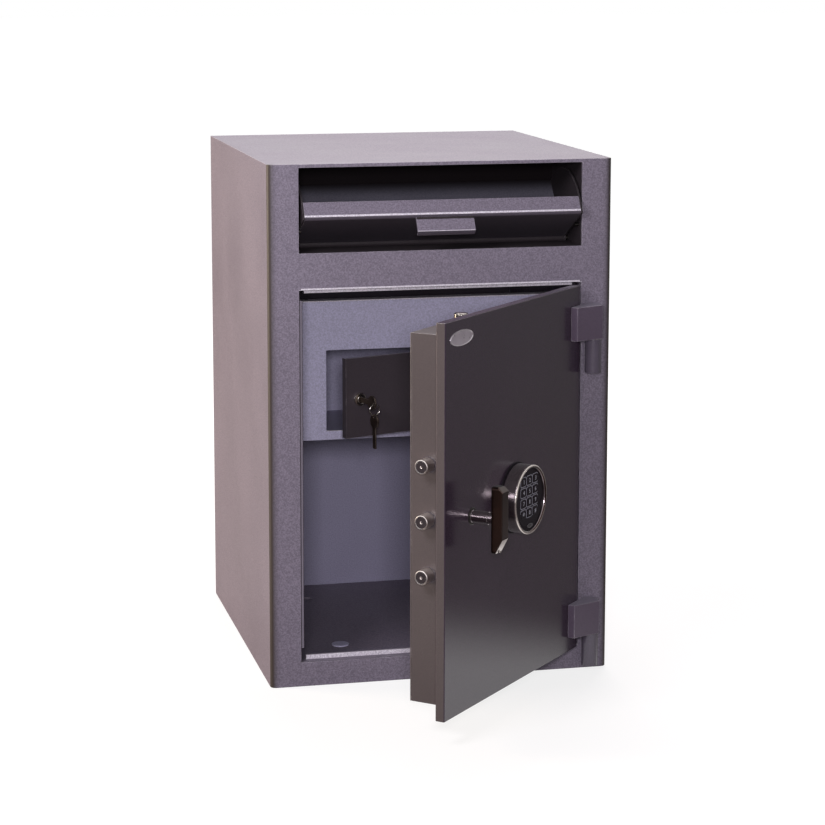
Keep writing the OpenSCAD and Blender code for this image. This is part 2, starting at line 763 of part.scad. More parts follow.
module locker_strike() color(STEEL) cabinet()
    block([locker_x - 5.5, locker_in + sheet_t, locker_lock_z - 14],
        [locker_x - 0.8, locker_in + 10, locker_lock_z + 14]);

module lock_barrel() color(CHROME) on_locker_door() difference() {
    union() {
        pin_y(locker_lock_x, locker_lock_z, lock_r, locker_in - lock_face_t, locker_in);
        pin_y(locker_lock_x, locker_lock_z, core_r + 2.5, locker_in, locker_in + leaf_flange);
    }
    pin_y(locker_lock_x, locker_lock_z, core_r + running,
        locker_in - lock_face_t - cut, locker_in + leaf_flange + cut);
}

module lock_core() color(CHROME) on_locker_door()
    pin_y(locker_lock_x, locker_lock_z, core_r, locker_in - lock_face_t - 0.6, locker_in + leaf_flange + 1.2);

// The cam hangs down while the lock is open
module lock_cam() color(STEEL) on_locker_door()
    through(locker_in + leaf_flange + 1.2, locker_in + leaf_flange + 3.7)
        translate([locker_lock_x, locker_lock_z]) {
            circle(core_r + 1.5);
            translate([-core_r, -26.5]) square([2 * core_r, 26.5]);
        }

// A key in the depth and height plane, its blade end at depth 0 and its bow towards the front
module key_plan(blade) difference() {
    union() {
        translate([-blade - 3, -3.8]) square([blade + 3, 7.6]);
        translate([-blade - bow_r + 1, 0]) circle(bow_r);
    }
    translate([-blade - bow_r - bow_hole_in, 0]) circle(bow_hole_r);
}

module locker_key() color(CHROME) on_locker_door()
    across(locker_lock_x - key_sheet_t / 2, locker_lock_x + key_sheet_t / 2)
        translate([locker_in - lock_face_t - 0.6, locker_lock_z]) key_plan(bow_out - bow_r - lock_face_t + 0.4);

module key_ring() color(CHROME) on_locker_door()
    translate([locker_lock_x, locker_in - bow_hole_out, ring_z]) rotate([90, 0, 0])
        rotate_extrude() translate([ring_r, 0]) circle(wire_r);

module spare_key() color(CHROME) on_locker_door()
    across(locker_lock_x - key_sheet_t / 2, locker_lock_x + key_sheet_t / 2)
        translate([locker_in - bow_hole_out, spare_hole_z]) rotate(-90)
            translate([bow_r + bow_hole_in + spare_blade, 0]) key_plan(spare_blade);

cabinet_shell();
back_panel();
door_frame();
door_stops();
hinge_barrels();
hinge_washers();
recess_sides();
recess_floor();
throat_baffle();
hopper_rod();
hopper_stop_pins();
deposit_chute();
locker_panel();
locker_box();
locker_hinge_brackets();
locker_strike();
floor_plugs();
hopper_tray();
hopper_back();
hopper_cheeks();
pull_tab();
door_plate();
bolt_box();
back_cover();
hinge_block_upper();
hinge_block_lower();
hinge_pins();
keypad_housing();
keypad_face();
door_badge();
spindle_bush();
lock_case();
handle_bar();
handle_spindle();
cam_disc();
side_bolts();
bolt_bar();
top_bolt();
bottom_bolt();
keypad_key(0, 0);  // key_1
keypad_key(1, 0);  // key_2
keypad_key(2, 0);  // key_3
keypad_key(0, 1);  // key_4
keypad_key(1, 1);  // key_5
keypad_key(2, 1);  // key_6
keypad_key(0, 2);  // key_7
keypad_key(1, 2);  // key_8
keypad_key(2, 2);  // key_9
keypad_key(0, 3);  // key_star
keypad_key(1, 3);  // key_0
keypad_key(2, 3);  // key_hash
locker_door();
locker_hinge_pins();
lock_barrel();
lock_core();
lock_cam();
locker_key();
key_ring();
spare_key();
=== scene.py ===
import json
from math import radians

import bmesh
import bpy
from mathutils import Matrix, Vector


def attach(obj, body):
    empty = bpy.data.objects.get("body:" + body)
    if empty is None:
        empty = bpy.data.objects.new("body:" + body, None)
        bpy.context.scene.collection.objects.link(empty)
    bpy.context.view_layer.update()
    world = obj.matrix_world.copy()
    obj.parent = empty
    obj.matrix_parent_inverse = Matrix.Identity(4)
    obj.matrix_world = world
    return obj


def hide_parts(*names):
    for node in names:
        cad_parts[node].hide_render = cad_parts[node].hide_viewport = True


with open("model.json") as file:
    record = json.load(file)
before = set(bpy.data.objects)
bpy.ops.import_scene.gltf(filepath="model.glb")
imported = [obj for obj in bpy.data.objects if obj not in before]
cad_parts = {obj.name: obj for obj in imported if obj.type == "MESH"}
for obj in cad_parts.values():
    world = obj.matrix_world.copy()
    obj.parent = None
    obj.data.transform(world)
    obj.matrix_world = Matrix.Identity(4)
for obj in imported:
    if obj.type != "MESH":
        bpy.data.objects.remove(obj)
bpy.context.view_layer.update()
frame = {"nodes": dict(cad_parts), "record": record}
nodes = frame["nodes"]
record = frame["record"]
body_of_node = {node: body for body, held in record["behaviour"]["bodies"].items() for node in held}
slot_of_node = {part["node"]: part["material_slot"] for part in record["subparts"]}
scene = bpy.context.scene
bpy.ops.object.select_all(action="DESELECT")

MM = 0.001

# The door and the locker door are drawn closed and stand open about their hinge axes
HINGE_X = 211.5
DOOR_AXIS = Vector((HINGE_X, -267.0, 0)) * MM
DOOR_OPEN = radians(47.7)
DOOR_FACE = -255.0
PLATE_THICKNESS = 13.0
LEAF_AXIS = Vector((81.3, -75.8, 0)) * MM
LEAF_OPEN = radians(19.5)
WORKS_Z = 289.0
HANDLE_X = -120.5
KEYPAD_X = 0.0


# Camera

LENS = 106.22
SHIFT = (0.0167, -0.12)
CAMERA_PLACE = (-0.7838, -3.4376, 1.0111)
LOOKS_DOWN = 8.651
LOOKS_RIGHT = 12.802


def place_camera():
    data = bpy.data.cameras.new("photo_camera")
    data.sensor_width = 36.0
    data.lens = LENS
    data.shift_x, data.shift_y = SHIFT
    camera = bpy.data.objects.new("photo_camera", data)
    camera.location = CAMERA_PLACE
    camera.rotation_euler = (radians(90 - LOOKS_DOWN), 0, radians(-LOOKS_RIGHT))
    scene.collection.objects.link(camera)
    scene.camera = camera


place_camera()


# Node helpers

def feed(tree, socket, value):
    """Links an output to a socket, or sets the socket to a plain value."""
    if isinstance(value, bpy.types.NodeSocket):
        tree.links.new(value, socket)
    else:
        socket.default_value = value


def combined(tree, operation, *values):
    node = tree.nodes.new("ShaderNodeMath")
    node.operation = operation
    for socket, value in zip(node.inputs, values):
        tree.links.new(value, socket)
    return node.outputs["Value"]


def dot(tree, first, second):
    node = tree.nodes.new("ShaderNodeVectorMath")
    node.operation = "DOT_PRODUCT"
    feed(tree, node.inputs[0], first)
    feed(tree, node.inputs[1], second)
    return node.outputs["Value"]


def ramp(tree, value, span, reach=(0.0, 1.0), soft=False):
    """A number that runs over reach while a value runs over span, evenly or with soft ends."""
    node = tree.nodes.new("ShaderNodeMapRange")
    node.interpolation_type = "SMOOTHSTEP" if soft else "LINEAR"
    node.inputs["From Min"].default_value, node.inputs["From Max"].default_value = span
    node.inputs["To Min"].default_value, node.inputs["To Max"].default_value = reach
    tree.links.new(value, node.inputs["Value"])
    return node.outputs["Result"]


def place_on(tree):
    """Where a point lies on its object."""
    return tree.nodes.new("ShaderNodeTexCoord").outputs["Object"]


def axes(tree):
    """Where a point lies on its object, as X, Y and Z apart."""
    node = tree.nodes.new("ShaderNodeSeparateXYZ")
    tree.links.new(place_on(tree), node.inputs[0])
    return node.outputs


def noise(tree, scale, detail, roughness=0.5):
    node = tree.nodes.new("ShaderNodeTexNoise")
    tree.links.new(place_on(tree), node.inputs["Vector"])
    feed(tree, node.inputs["Scale"], scale)
    node.inputs["Detail"].default_value = detail
    node.inputs["Roughness"].default_value = roughness
    return node.outputs["Fac"]


def raised(tree, height, strength, distance):
    """A normal tilted by a fine relief."""
    node = tree.nodes.new("ShaderNodeBump")
    node.inputs["Strength"].default_value = strength
    node.inputs["Distance"].default_value = distance
    tree.links.new(height, node.inputs["Height"])
    return node.outputs["Normal"]


def mixed_colour(tree, mask, first, second):
    node = tree.nodes.new("ShaderNodeMix")
    node.data_type = "RGBA"
    tree.links.new(mask, node.inputs["Factor"])
    for side, colour in (("A", first), ("B", second)):
        feed(tree, next(s for s in node.inputs if s.name == side and s.type == "RGBA"), colour)
    return next(s for s in node.outputs if s.type == "RGBA")


def mixed_shader(tree, mask, first, second):
    node = tree.nodes.new("ShaderNodeMixShader")
    tree.links.new(mask, node.inputs["Fac"])
    tree.links.new(first, node.inputs[1])
    tree.links.new(second, node.inputs[2])
    return node.outputs[0]


def new_material(name):
    material = bpy.data.materials.new(name)
    material.use_nodes = True
    return material, material.node_tree


# Studio

FLOOR_GREY = (0.27, 0.26, 0.26, 1)
# How bright the floor shows, and the metres from its middle over which it runs out to white
FLOOR_GLOW, GLOW_REACH = (0.80, 1.0), (0.5, 2.0)
# The metres over which the mirrored sheet fades along its slanting far edge, its near edge and its left edge
SHEET_SLANT, SHEET_EDGE = (1.0, 0.8, 0.0), (-0.10, 0.34)
SHEET_FRONT, SHEET_LEFT = (-0.68, -0.58), (-0.14, 0.0)
FAR_GLOW, FAR_RIGHT = (0.0, 0.18), (1.2, 3.5)
WHITE = (1, 1, 1, 1)
ROOM_TINT, ROOM_STRENGTH = (0.95, 0.94, 1.0, 1), 0.07
COOL = (0.98, 0.95, 1.0)


def camera_or_mirror(tree):
    """1 for what the camera sees, straight or by way of a shiny or clear surface."""
    seen = tree.nodes.new("ShaderNodeLightPath").outputs
    either = combined(tree, "MAXIMUM", seen["Is Camera Ray"], seen["Is Glossy Ray"])
    return combined(tree, "MAXIMUM", either, seen["Is Transmission Ray"])


def floor_material():
    """Pale floor that holds the object's shadow and runs out to white.

    Shiny paint mirrors a white sheet on it, before the right half of the cabinet, and a faint brightness far right.
    """
    material, tree = new_material("pale_floor")
    tree.nodes.clear()
    lit = tree.nodes.new("ShaderNodeBsdfDiffuse")
    lit.inputs["Color"].default_value = FLOOR_GREY
    place = place_on(tree)
    spot = axes(tree)
    reach = tree.nodes.new("ShaderNodeVectorMath")
    reach.operation = "LENGTH"
    tree.links.new(place, reach.inputs[0])
    sheet = ramp(tree, dot(tree, place, SHEET_SLANT), SHEET_EDGE, (1.0, 0.0), soft=True)
    for value, span in ((spot["Y"], SHEET_FRONT), (spot["X"], SHEET_LEFT)):
        sheet = combined(tree, "MULTIPLY", sheet, ramp(tree, value, span, soft=True))
    mirrored = combined(tree, "ADD", sheet, ramp(tree, spot["X"], FAR_RIGHT, FAR_GLOW))
    strength = tree.nodes.new("ShaderNodeMix")
    tree.links.new(tree.nodes.new("ShaderNodeLightPath").outputs["Is Camera Ray"], strength.inputs["Factor"])
    tree.links.new(mirrored, strength.inputs["A"])
    tree.links.new(ramp(tree, reach.outputs["Value"], GLOW_REACH, FLOOR_GLOW, soft=True), strength.inputs["B"])
    glow = tree.nodes.new("ShaderNodeEmission")
    glow.inputs["Color"].default_value = WHITE
    tree.links.new(strength.outputs["Result"], glow.inputs["Strength"])
    bright = tree.nodes.new("ShaderNodeAddShader")
    tree.links.new(lit.outputs[0], bright.inputs[0])
    tree.links.new(glow.outputs[0], bright.inputs[1])
    surface = mixed_shader(tree, camera_or_mirror(tree), lit.outputs[0], bright.outputs[0])
    tree.links.new(surface, tree.nodes.new("ShaderNodeOutputMaterial").inputs["Surface"])
    return material


def lay_floor():
    bpy.ops.mesh.primitive_plane_add(size=60, location=(0, 0, 0))
    floor = bpy.context.object
    floor.name = "floor"
    floor.data.materials.append(floor_material())
    floor.select_set(False)


def light_room():
    """Dim light from all round, with a white backdrop for what the camera and the mirrors see."""
    world = bpy.data.worlds.new("studio")
    scene.world = world
    world.use_nodes = True
    tree = world.node_tree
    tree.nodes.clear()
    backdrop = tree.nodes.new("ShaderNodeBackground")
    backdrop.inputs["Color"].default_value = WHITE
    room = tree.nodes.new("ShaderNodeBackground")
    room.inputs["Color"].default_value = ROOM_TINT
    room.inputs["Strength"].default_value = ROOM_STRENGTH
    surface = mixed_shader(tree, camera_or_mirror(tree), room.outputs[0], backdrop.outputs[0])
    tree.links.new(surface, tree.nodes.new("ShaderNodeOutputWorld").inputs["Surface"])


def hang_lamp(name, place, aim, size, power, tint):
    data = bpy.data.lights.new(name, "AREA")
    data.shape = "RECTANGLE"
    data.size, data.size_y = size
    data.energy = power
    data.color = tint
    lamp = bpy.data.objects.new(name, data)
    lamp.location = place
    lamp.rotation_euler = (Vector(aim) - Vector(place)).to_track_quat("-Z", "Y").to_euler()
    scene.collection.objects.link(lamp)


lay_floor()
light_room()
hang_lamp("top_lamp", (0.5, 1.5, 3.0), (0, 0.1, 0.7), (1.5, 1.5), 83, (1.0, 0.94, 0.93))
hang_lamp("side_lamp", (-3.0, 0.9, 0.85), (0, 0, 0.25), (1.2, 1.6), 111, (1.0, 0.835, 0.645))
hang_lamp("left_front_lamp", (-0.98, -1.15, 1.3), (-0.15, 0, 0.6), (0.5, 0.5), 12, COOL)
hang_lamp("front_lamp", (-0.72, -3.15, 1.08), (-0.05, 0, 0.4), (0.4, 0.35), 42, COOL)
scene.view_settings.view_transform = "Standard"


# Masks of the finishes

# The part of each texture's values that is spread out, and what it is spread over
FLECK_SPREAD, TONE_SPREAD, TONE_DRIFT = (0.36, 0.64), (0.35, 0.65), (0.965, 1.035)
EDGE_BEND, RUBBED_PATCHES, HIGHLIGHT_AND_WEAR_SHARE = (0.995, 0.86), (0.50, 0.66), (0.35, 1.0)
TARNISH_SPREAD, ROUGH_SPREAD = (0.42, 0.68), (0.3, 0.7)
PIT_DEPTH, MARK_DEPTH, MARK_STRENGTH = 0.0002, 0.0001, 0.12
# Where the painted shades on the hopper's back and on the cabinet's round corners begin and end, in metres
HOPPER_BACK_SHADE = (0.659, 0.679)
CORNER_BEND, CORNER_FRONT = (0.2255, 0.2368), (-0.2470, -0.2482)


def new_group(name, inputs, outputs):
    tree = bpy.data.node_groups.new(name, "ShaderNodeTree")
    for label, value in inputs.items():
        socket = tree.interface.new_socket(label, in_out="INPUT", socket_type="NodeSocketFloat")
        socket.default_value = value
    for label in outputs:
        tree.interface.new_socket(label, in_out="OUTPUT", socket_type="NodeSocketFloat")
    return tree, tree.nodes.new("NodeGroupInput").outputs, tree.nodes.new("NodeGroupOutput").inputs


def speckle_group():
    """Fine grain of a sprayed coat: its colour fleck, the pits it leaves and a slow drift of tone."""
    tree, given, made = new_group("sprayed_speckle", {"Grain": 900.0, "Drift": 6.0}, ("Fleck", "Height", "Tone"))
    fleck = noise(tree, given["Grain"], 2.0, 0.65)
    tree.links.new(ramp(tree, fleck, FLECK_SPREAD), made["Fleck"])
    fine = tree.nodes.new("ShaderNodeTexVoronoi")
    tree.links.new(place_on(tree), fine.inputs["Vector"])
    tree.links.new(given["Grain"], fine.inputs["Scale"])
    tree.links.new(fine.outputs["Distance"], made["Height"])
    tree.links.new(noise(tree, given["Drift"], 4.0), made["Tone"])
    return tree


def wear_and_highlight_group():
    """Rubbed wear in patches over a painted highlight along every edge, found from the rounded normal."""
    tree, given, made = new_group("rubbed_and_highlit_edges", {"Radius": 0.0012, "Breakup": 60.0}, ("Edge", "WornAndHighlit"))
    rounded = tree.nodes.new("ShaderNodeBevel")
    rounded.samples = 4
    tree.links.new(given["Radius"], rounded.inputs["Radius"])
    flat = tree.nodes.new("ShaderNodeNewGeometry")
    edge = ramp(tree, dot(tree, rounded.outputs["Normal"], flat.outputs["Normal"]), EDGE_BEND)
    patches = ramp(tree, noise(tree, given["Breakup"], 5.0), RUBBED_PATCHES, HIGHLIGHT_AND_WEAR_SHARE)
    tree.links.new(edge, made["Edge"])
    tree.links.new(combined(tree, "MULTIPLY", edge, patches), made["WornAndHighlit"])
    return tree


def painted_corner_shade_group():
    """Painted shade on the two rounded front corners of the cabinet, deepening towards the side."""
    tree, _, made = new_group("corner_painted_shade", {}, ("Shade",))
    spot = axes(tree)
    bend = ramp(tree, combined(tree, "ABSOLUTE", spot["X"]), CORNER_BEND)
    front = ramp(tree, spot["Y"], CORNER_FRONT, soft=True)
    shade = combined(tree, "MULTIPLY", combined(tree, "MULTIPLY", bend, bend), front)
    tree.links.new(shade, made["Shade"])
    return tree


def painted_top_shade_group():
    """Painted shade that gathers towards the top of the hopper's back."""
    tree, _, made = new_group("top_painted_shade", {}, ("Shade",))
    tree.links.new(ramp(tree, axes(tree)["Z"], HOPPER_BACK_SHADE, soft=True), made["Shade"])
    return tree


def group_node(tree, group, **values):
    node = tree.nodes.new("ShaderNodeGroup")
    node.node_tree = group
    for label, value in values.items():
        node.inputs[label].default_value = value
    return node.outputs


SPECKLE = speckle_group()
WEAR_AND_HIGHLIGHT = wear_and_highlight_group()
PAINTED_CORNER_SHADE = painted_corner_shade_group()
PAINTED_TOP_SHADE = painted_top_shade_group()


# Finishes

def srgb(code):
    """A colour written as six hexadecimal digits, as a linear colour."""
    parts = [int(code[i:i + 2], 16) / 255 for i in (0, 2, 4)]
    return (*[c / 12.92 if c <= 0.04045 else ((c + 0.055) / 1.055) ** 2.4 for c in parts], 1)


def paint(name, dark, light, edge_tone, grain=900.0, pits=0.25, rough=(0.42, 0.58), gloss=0.5, edge_radius=0.0012,
          corner=None, top_shade=None):
    """A sprayed coat in two close tones, rubbed edges over a painted highlight and, where named, a painted corner or
    top shade.
    """
    material, tree = new_material(name)
    shader = tree.nodes["Principled BSDF"]
    speckle = group_node(tree, SPECKLE, Grain=grain, Drift=5.0)
    edge_mask = group_node(tree, WEAR_AND_HIGHLIGHT, Radius=edge_radius, Breakup=70.0)
    drifted = tree.nodes.new("ShaderNodeHueSaturation")
    tree.links.new(mixed_colour(tree, speckle["Fleck"], srgb(dark), srgb(light)), drifted.inputs["Color"])
    tree.links.new(ramp(tree, speckle["Tone"], TONE_SPREAD, TONE_DRIFT), drifted.inputs["Value"])
    # Edges take the edge tone: rubbed wear in patches over a painted highlight along every edge
    colour = mixed_colour(tree, edge_mask["WornAndHighlit"], drifted.outputs["Color"], srgb(edge_tone))
    # Named shades paint shade over the colour: on the cabinet's rounded corners and at the top of the hopper's back
    for group, shade in ((PAINTED_CORNER_SHADE, corner), (PAINTED_TOP_SHADE, top_shade)):
        if shade:
            colour = mixed_colour(tree, group_node(tree, group)["Shade"], colour, srgb(shade))
    tree.links.new(colour, shader.inputs["Base Color"])
    tree.links.new(ramp(tree, speckle["Tone"], ROUGH_SPREAD, rough), shader.inputs["Roughness"])
    tree.links.new(raised(tree, speckle["Height"], pits, PIT_DEPTH), shader.inputs["Normal"])
    shader.inputs["Specular IOR Level"].default_value = gloss
    return material


def bright_metal(name, base, tarnish, rough=(0.10, 0.22), scale=120.0, edge_glint=None, coat=0.0):
    """Plated or turned metal, with fine marks, a faint tarnish and a painted glint in a lighter tone along every
    edge.
    """
    material, tree = new_material(name)
    shader = tree.nodes["Principled BSDF"]
    shader.inputs["Metallic"].default_value = 1.0
    shader.inputs["Coat Weight"].default_value = coat
    shader.inputs["Coat Roughness"].default_value = 0.08
    marks = noise(tree, scale, 6.0)
    cloud = ramp(tree, noise(tree, 22.0, 4.0), TARNISH_SPREAD)
    body = mixed_colour(tree, cloud, srgb(base), srgb(tarnish))
    edge_mask = group_node(tree, WEAR_AND_HIGHLIGHT, Radius=0.0008, Breakup=90.0)
    # Every edge takes the glint tone in full: a painted glint
    tree.links.new(mixed_colour(tree, edge_mask["Edge"], body, srgb(edge_glint or base)), shader.inputs["Base Color"])
    tree.links.new(ramp(tree, marks, ROUGH_SPREAD, rough), shader.inputs["Roughness"])
    tree.links.new(raised(tree, marks, MARK_STRENGTH, MARK_DEPTH), shader.inputs["Normal"])
    return material


# A coat names its darker and lighter tone and the tone of its edges, rubbed and painted light; a metal its tone and
# its tarnish
FINISH = {
    # The grey coat's corner tone is painted shade on the cabinet's rounded front corners
    "body_paint": paint("speckled_grey_coat", "69626f", "867d8c", "c4bec6", grain=520.0, pits=0.5, gloss=0.35,
                        corner="332b29"),
    "dark_paint": paint("smooth_dark_coat", "382b38", "433545", "7d7476", grain=1400.0, pits=0.04,
                        rough=(0.18, 0.23)),
    "liner_paint": paint("light_inner_coat", "a9a6bf", "c3bfdb", "d2cfdd", grain=520.0, pits=0.4),
    "chrome": bright_metal("polished_chrome", "8d8782", "7d766f", edge_glint="f0ecea"),
    "plain_steel": bright_metal("plain_steel", "8f8c88", "77736e", rough=(0.28, 0.45), scale=200.0),
    "keypad_plastic": paint("keypad_plastic", "140f14", "1c161c", "38333a", grain=2200.0, pits=0.2,
                            rough=(0.5, 0.65), gloss=0.12, edge_radius=0.0005),
}

# Chrome with a near-black base: painted dark reflection, for the handle, the keypad's chamfer and the set screw
CHROME_PAINTED_DARK = bright_metal("chrome_painted_dark_reflection", "38241e", "2a1a15", rough=(0.10, 0.18), edge_glint="b8b0ac",
                           coat=0.3)
RIM_CHROME = bright_metal("bright_rim_chrome", "e2dad6", "c9bfba", rough=(0.34, 0.42), edge_glint="f6f1ee", coat=0.3)
# Chrome dimmed and tinted mauve-grey: painted reflection of the door and the dark room, for the drum and the
# handle's post
DRUM_CHROME_PAINTED_REFLECTION = bright_metal("drum_chrome_painted_reflection", "857a7e", "74686c", rough=(0.17, 0.24), edge_glint="b4aaae", coat=0.4)
KEYPAD_RIM = bright_metal("keypad_rim_chrome", "cfc6c1", "b7ada7", rough=(0.20, 0.28), edge_glint="efe9e5", coat=0.4)
LOCK_CHROME = bright_metal("lock_chrome", "d8d2ce", "c0b8b2", rough=(0.12, 0.20), edge_glint="f8f6f4", coat=0.4)
KEY_METAL = bright_metal("key_metal", "6f6158", "584c45", rough=(0.36, 0.48), edge_glint="b5aaa2")
DIM_NICKEL = bright_metal("dim_nickel", "5f5c60", "4e4b4f", rough=(0.35, 0.45), edge_glint="8a878b")
SATIN_NICKEL = bright_metal("satin_nickel", "cfc5d0", "b9afba", rough=(0.25, 0.4), edge_glint="e6e3e1")
BLACKENED = bright_metal("blackened_steel", "3b3836", "2c2a29", rough=(0.3, 0.5))

EDGE_COAT = paint("door_edge_coat", "4b4445", "574f4f", "938a8a", grain=1300.0, pits=0.08, rough=(0.3, 0.4),
                  gloss=0.4)
LEAF_COAT = paint("locker_leaf_coat", "3c353a", "464045", "857e82", grain=1300.0, pits=0.1, rough=(0.3, 0.4),
                  gloss=0.3)
# A near-black coat: painted shade for the recess walls and floor, the hopper's cheeks and other faces in shadow
RECESS_PAINTED_SHADE = paint("recess_painted_shade_coat", "2a2528", "342e32", "6f6a6c", pits=0.1, rough=(0.5, 0.65), gloss=0.15)
# Nearly black: painted shade deep in the deposit throat
THROAT_PAINTED_SHADE = paint("throat_painted_shade_coat", "100c0e", "171214", "4a4446", pits=0.1, rough=(0.6, 0.75), gloss=0.05)
INNER_COAT = paint("inner_wall_coat", "8b879f", "9c98b1", "b5b1c4", grain=520.0, pits=0.4)
STOP_COAT = paint("door_stop_coat", "857e8c", "98919f", "d2cdd4", gloss=0.4)
# A darkened copy of the grey coat: painted shade on the hopper's back, deepest towards its top
HOPPER_BACK_SHADED_COAT = paint("hopper_back_painted_shade", "57555f", "63616c", "8f8d98", grain=520.0, gloss=0.2, top_shade="171316")
# A darkened copy of the grey coat: painted shade on the tray's underside
UNDERSIDE_PAINTED_SHADE = paint("hopper_underside_painted_shade", "3a353b", "48424a", "8a848c", gloss=0.2)
# A near-white coat: painted highlight along bent and top edges
FOLD_PAINTED_HIGHLIGHT = paint("painted_fold_highlight", "bdb6c2", "ebe6ee", "f4f1f5", grain=560.0, pits=0.2)
# A darkened coat: painted shade under bends, in gaps and above the locker
FOLD_PAINTED_SHADE = paint("painted_fold_shade", "4b444e", "5a535d", "8a848c", gloss=0.2)
HINGE_COAT = paint("hinge_block_coat", "584c5c", "655969", "d3ccd4", pits=0.15, rough=(0.26, 0.34), gloss=0.4,
                   edge_radius=0.0018)
BARREL_COAT = paint("hinge_barrel_coat", "564f5a", "625a69", "b5aeb6", grain=1100.0, pits=0.08, rough=(0.2, 0.28))
PRINT = paint("light_print", "b4b3bf", "c6c5d0", "d0cfd8", grain=2500.0, pits=0.05, rough=(0.5, 0.6),
              edge_radius=0.0002)
FAINT_PRINT = paint("faint_print", "96949f", "a6a4b0", "b2b0bb", grain=2500.0, pits=0.05, rough=(0.5, 0.6),
                    edge_radius=0.0002)

# The recess, the hopper's cheeks and the throat take coats of painted shade, and the hopper's back a darkened coat
# with painted shade at its top
COAT_OF_NODE = {
    "recess_sides": RECESS_PAINTED_SHADE, "recess_floor": RECESS_PAINTED_SHADE, "throat_baffle": THROAT_PAINTED_SHADE,
    "hopper_cheeks": RECESS_PAINTED_SHADE, "hopper_back": HOPPER_BACK_SHADED_COAT, "hopper_rod": BLACKENED, "hopper_stop_pins": BLACKENED,
    "hinge_block_upper": HINGE_COAT, "hinge_block_lower": HINGE_COAT, "hinge_barrels": BARREL_COAT,
    "hinge_washers": RIM_CHROME, "bolt_box": EDGE_COAT, "back_cover": EDGE_COAT, "door_stops": STOP_COAT,
    "locker_door": LEAF_COAT, "locker_box": INNER_COAT, "locker_key": KEY_METAL, "spare_key": KEY_METAL,
}


# Bench work on any piece

EDGE_ANGLE, SMOOTH_ANGLE, FLAT_ANGLE = 30, 32, 0.5
SOLID_MERGE = 0.000002


def take_up(piece):
    bpy.ops.object.select_all(action="DESELECT")
    piece.select_set(True)
    bpy.context.view_layer.objects.active = piece


def put_down(piece):
    piece.select_set(False)


def smooth(piece, angle=SMOOTH_ANGLE):
    """Shades a piece smooth except over its sharp edges, and keeps its large faces flat."""
    take_up(piece)
    bpy.ops.object.shade_smooth_by_angle(angle=radians(angle))
    flat = piece.modifiers.new("flat_faces", "WEIGHTED_NORMAL")
    flat.keep_sharp = True
    bpy.ops.object.modifier_apply(modifier=flat.name)
    put_down(piece)


def round_edges(piece, width, steps=2):
    """Rounds every sharp edge, as a modifier that is applied."""
    take_up(piece)
    edge = piece.modifiers.new("rounded_edges", "BEVEL")
    edge.limit_method = "ANGLE"
    edge.angle_limit = radians(EDGE_ANGLE)
    edge.width = width * MM
    edge.segments = steps
    edge.use_clamp_overlap = False
    edge.harden_normals = False
    bpy.ops.object.modifier_apply(modifier=edge.name)
    put_down(piece)


def finish_piece(piece, name, body, slot, *replaced, coat=None):
    piece.name = name
    piece.data.name = name
    piece.data.materials.clear()
    piece.data.materials.append(coat or FINISH[slot])
    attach(piece, body)
    if replaced:
        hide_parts(*replaced)
    return piece


def from_solid(node):
    """A copy of a CAD node's mesh with its points merged and its flat faces made whole."""
    mesh = nodes[node].data.copy()
    piece = bpy.data.objects.new(node + "_copy", mesh)
    scene.collection.objects.link(piece)
    take_up(piece)
    bpy.ops.object.mode_set(mode="EDIT")
    bpy.ops.mesh.select_all(action="SELECT")
    bpy.ops.mesh.customdata_custom_splitnormals_clear()
    bpy.ops.mesh.remove_doubles(threshold=SOLID_MERGE)
    bpy.ops.mesh.dissolve_limited(angle_limit=radians(FLAT_ANGLE), use_dissolve_boundaries=False)
    bpy.ops.object.mode_set(mode="OBJECT")
    put_down(piece)
    return piece


def dressed(node, width):
    """A CAD node with its sharp edges rounded over, in its own finish."""
    piece = from_solid(node)
    round_edges(piece, width)
    smooth(piece)
    return finish_piece(piece, node + "_finished", body_of_node[node], slot_of_node[node], node,
                        coat=COAT_OF_NODE.get(node))


def pick(piece, faces=None, edges=None):
    """Opens a piece in edit mode with the faces or edges selected that a test on their centre and way accepts.

    A centre is in millimetres. A way is a face's normal or an edge's direction: beyond 0.98 it lies flat along an
    axis, and a lower bound takes in the rounded edges too.
    """
    take_up(piece)
    bpy.ops.object.mode_set(mode="EDIT")
    bpy.ops.mesh.select_mode(type="FACE" if faces else "EDGE")
    bpy.ops.mesh.select_all(action="DESELECT")
    mesh = bmesh.from_edit_mesh(piece.data)
    if faces:
        for face in mesh.faces:
            face.select_set(bool(faces(face.calc_center_median() / MM, face.normal)))
    else:
        for edge in mesh.edges:
            first, second = (corner.co for corner in edge.verts)
            edge.select_set(bool(edges((first + second) / 2 / MM, (second - first).normalized())))
    mesh.select_flush_mode()
    bmesh.update_edit_mesh(piece.data)


def close(piece):
    bpy.ops.mesh.select_all(action="DESELECT")
    bpy.ops.object.mode_set(mode="OBJECT")
    put_down(piece)


def split(piece, place, across, faces):
    """Draws a line over the picked faces, through a place in millimetres and square to a direction."""
    pick(piece, faces=faces)
    bpy.ops.mesh.bisect(plane_co=Vector(place) * MM, plane_no=across)
    close(piece)


def second_coat(piece, coat, faces):
    """Gives the picked faces another coat."""
    piece.data.materials.append(coat)
    pick(piece, faces=faces)
    piece.active_material_index = len(piece.data.materials) - 1
    bpy.ops.object.material_slot_assign()
    close(piece)


# Bench work on new pieces, in millimetres

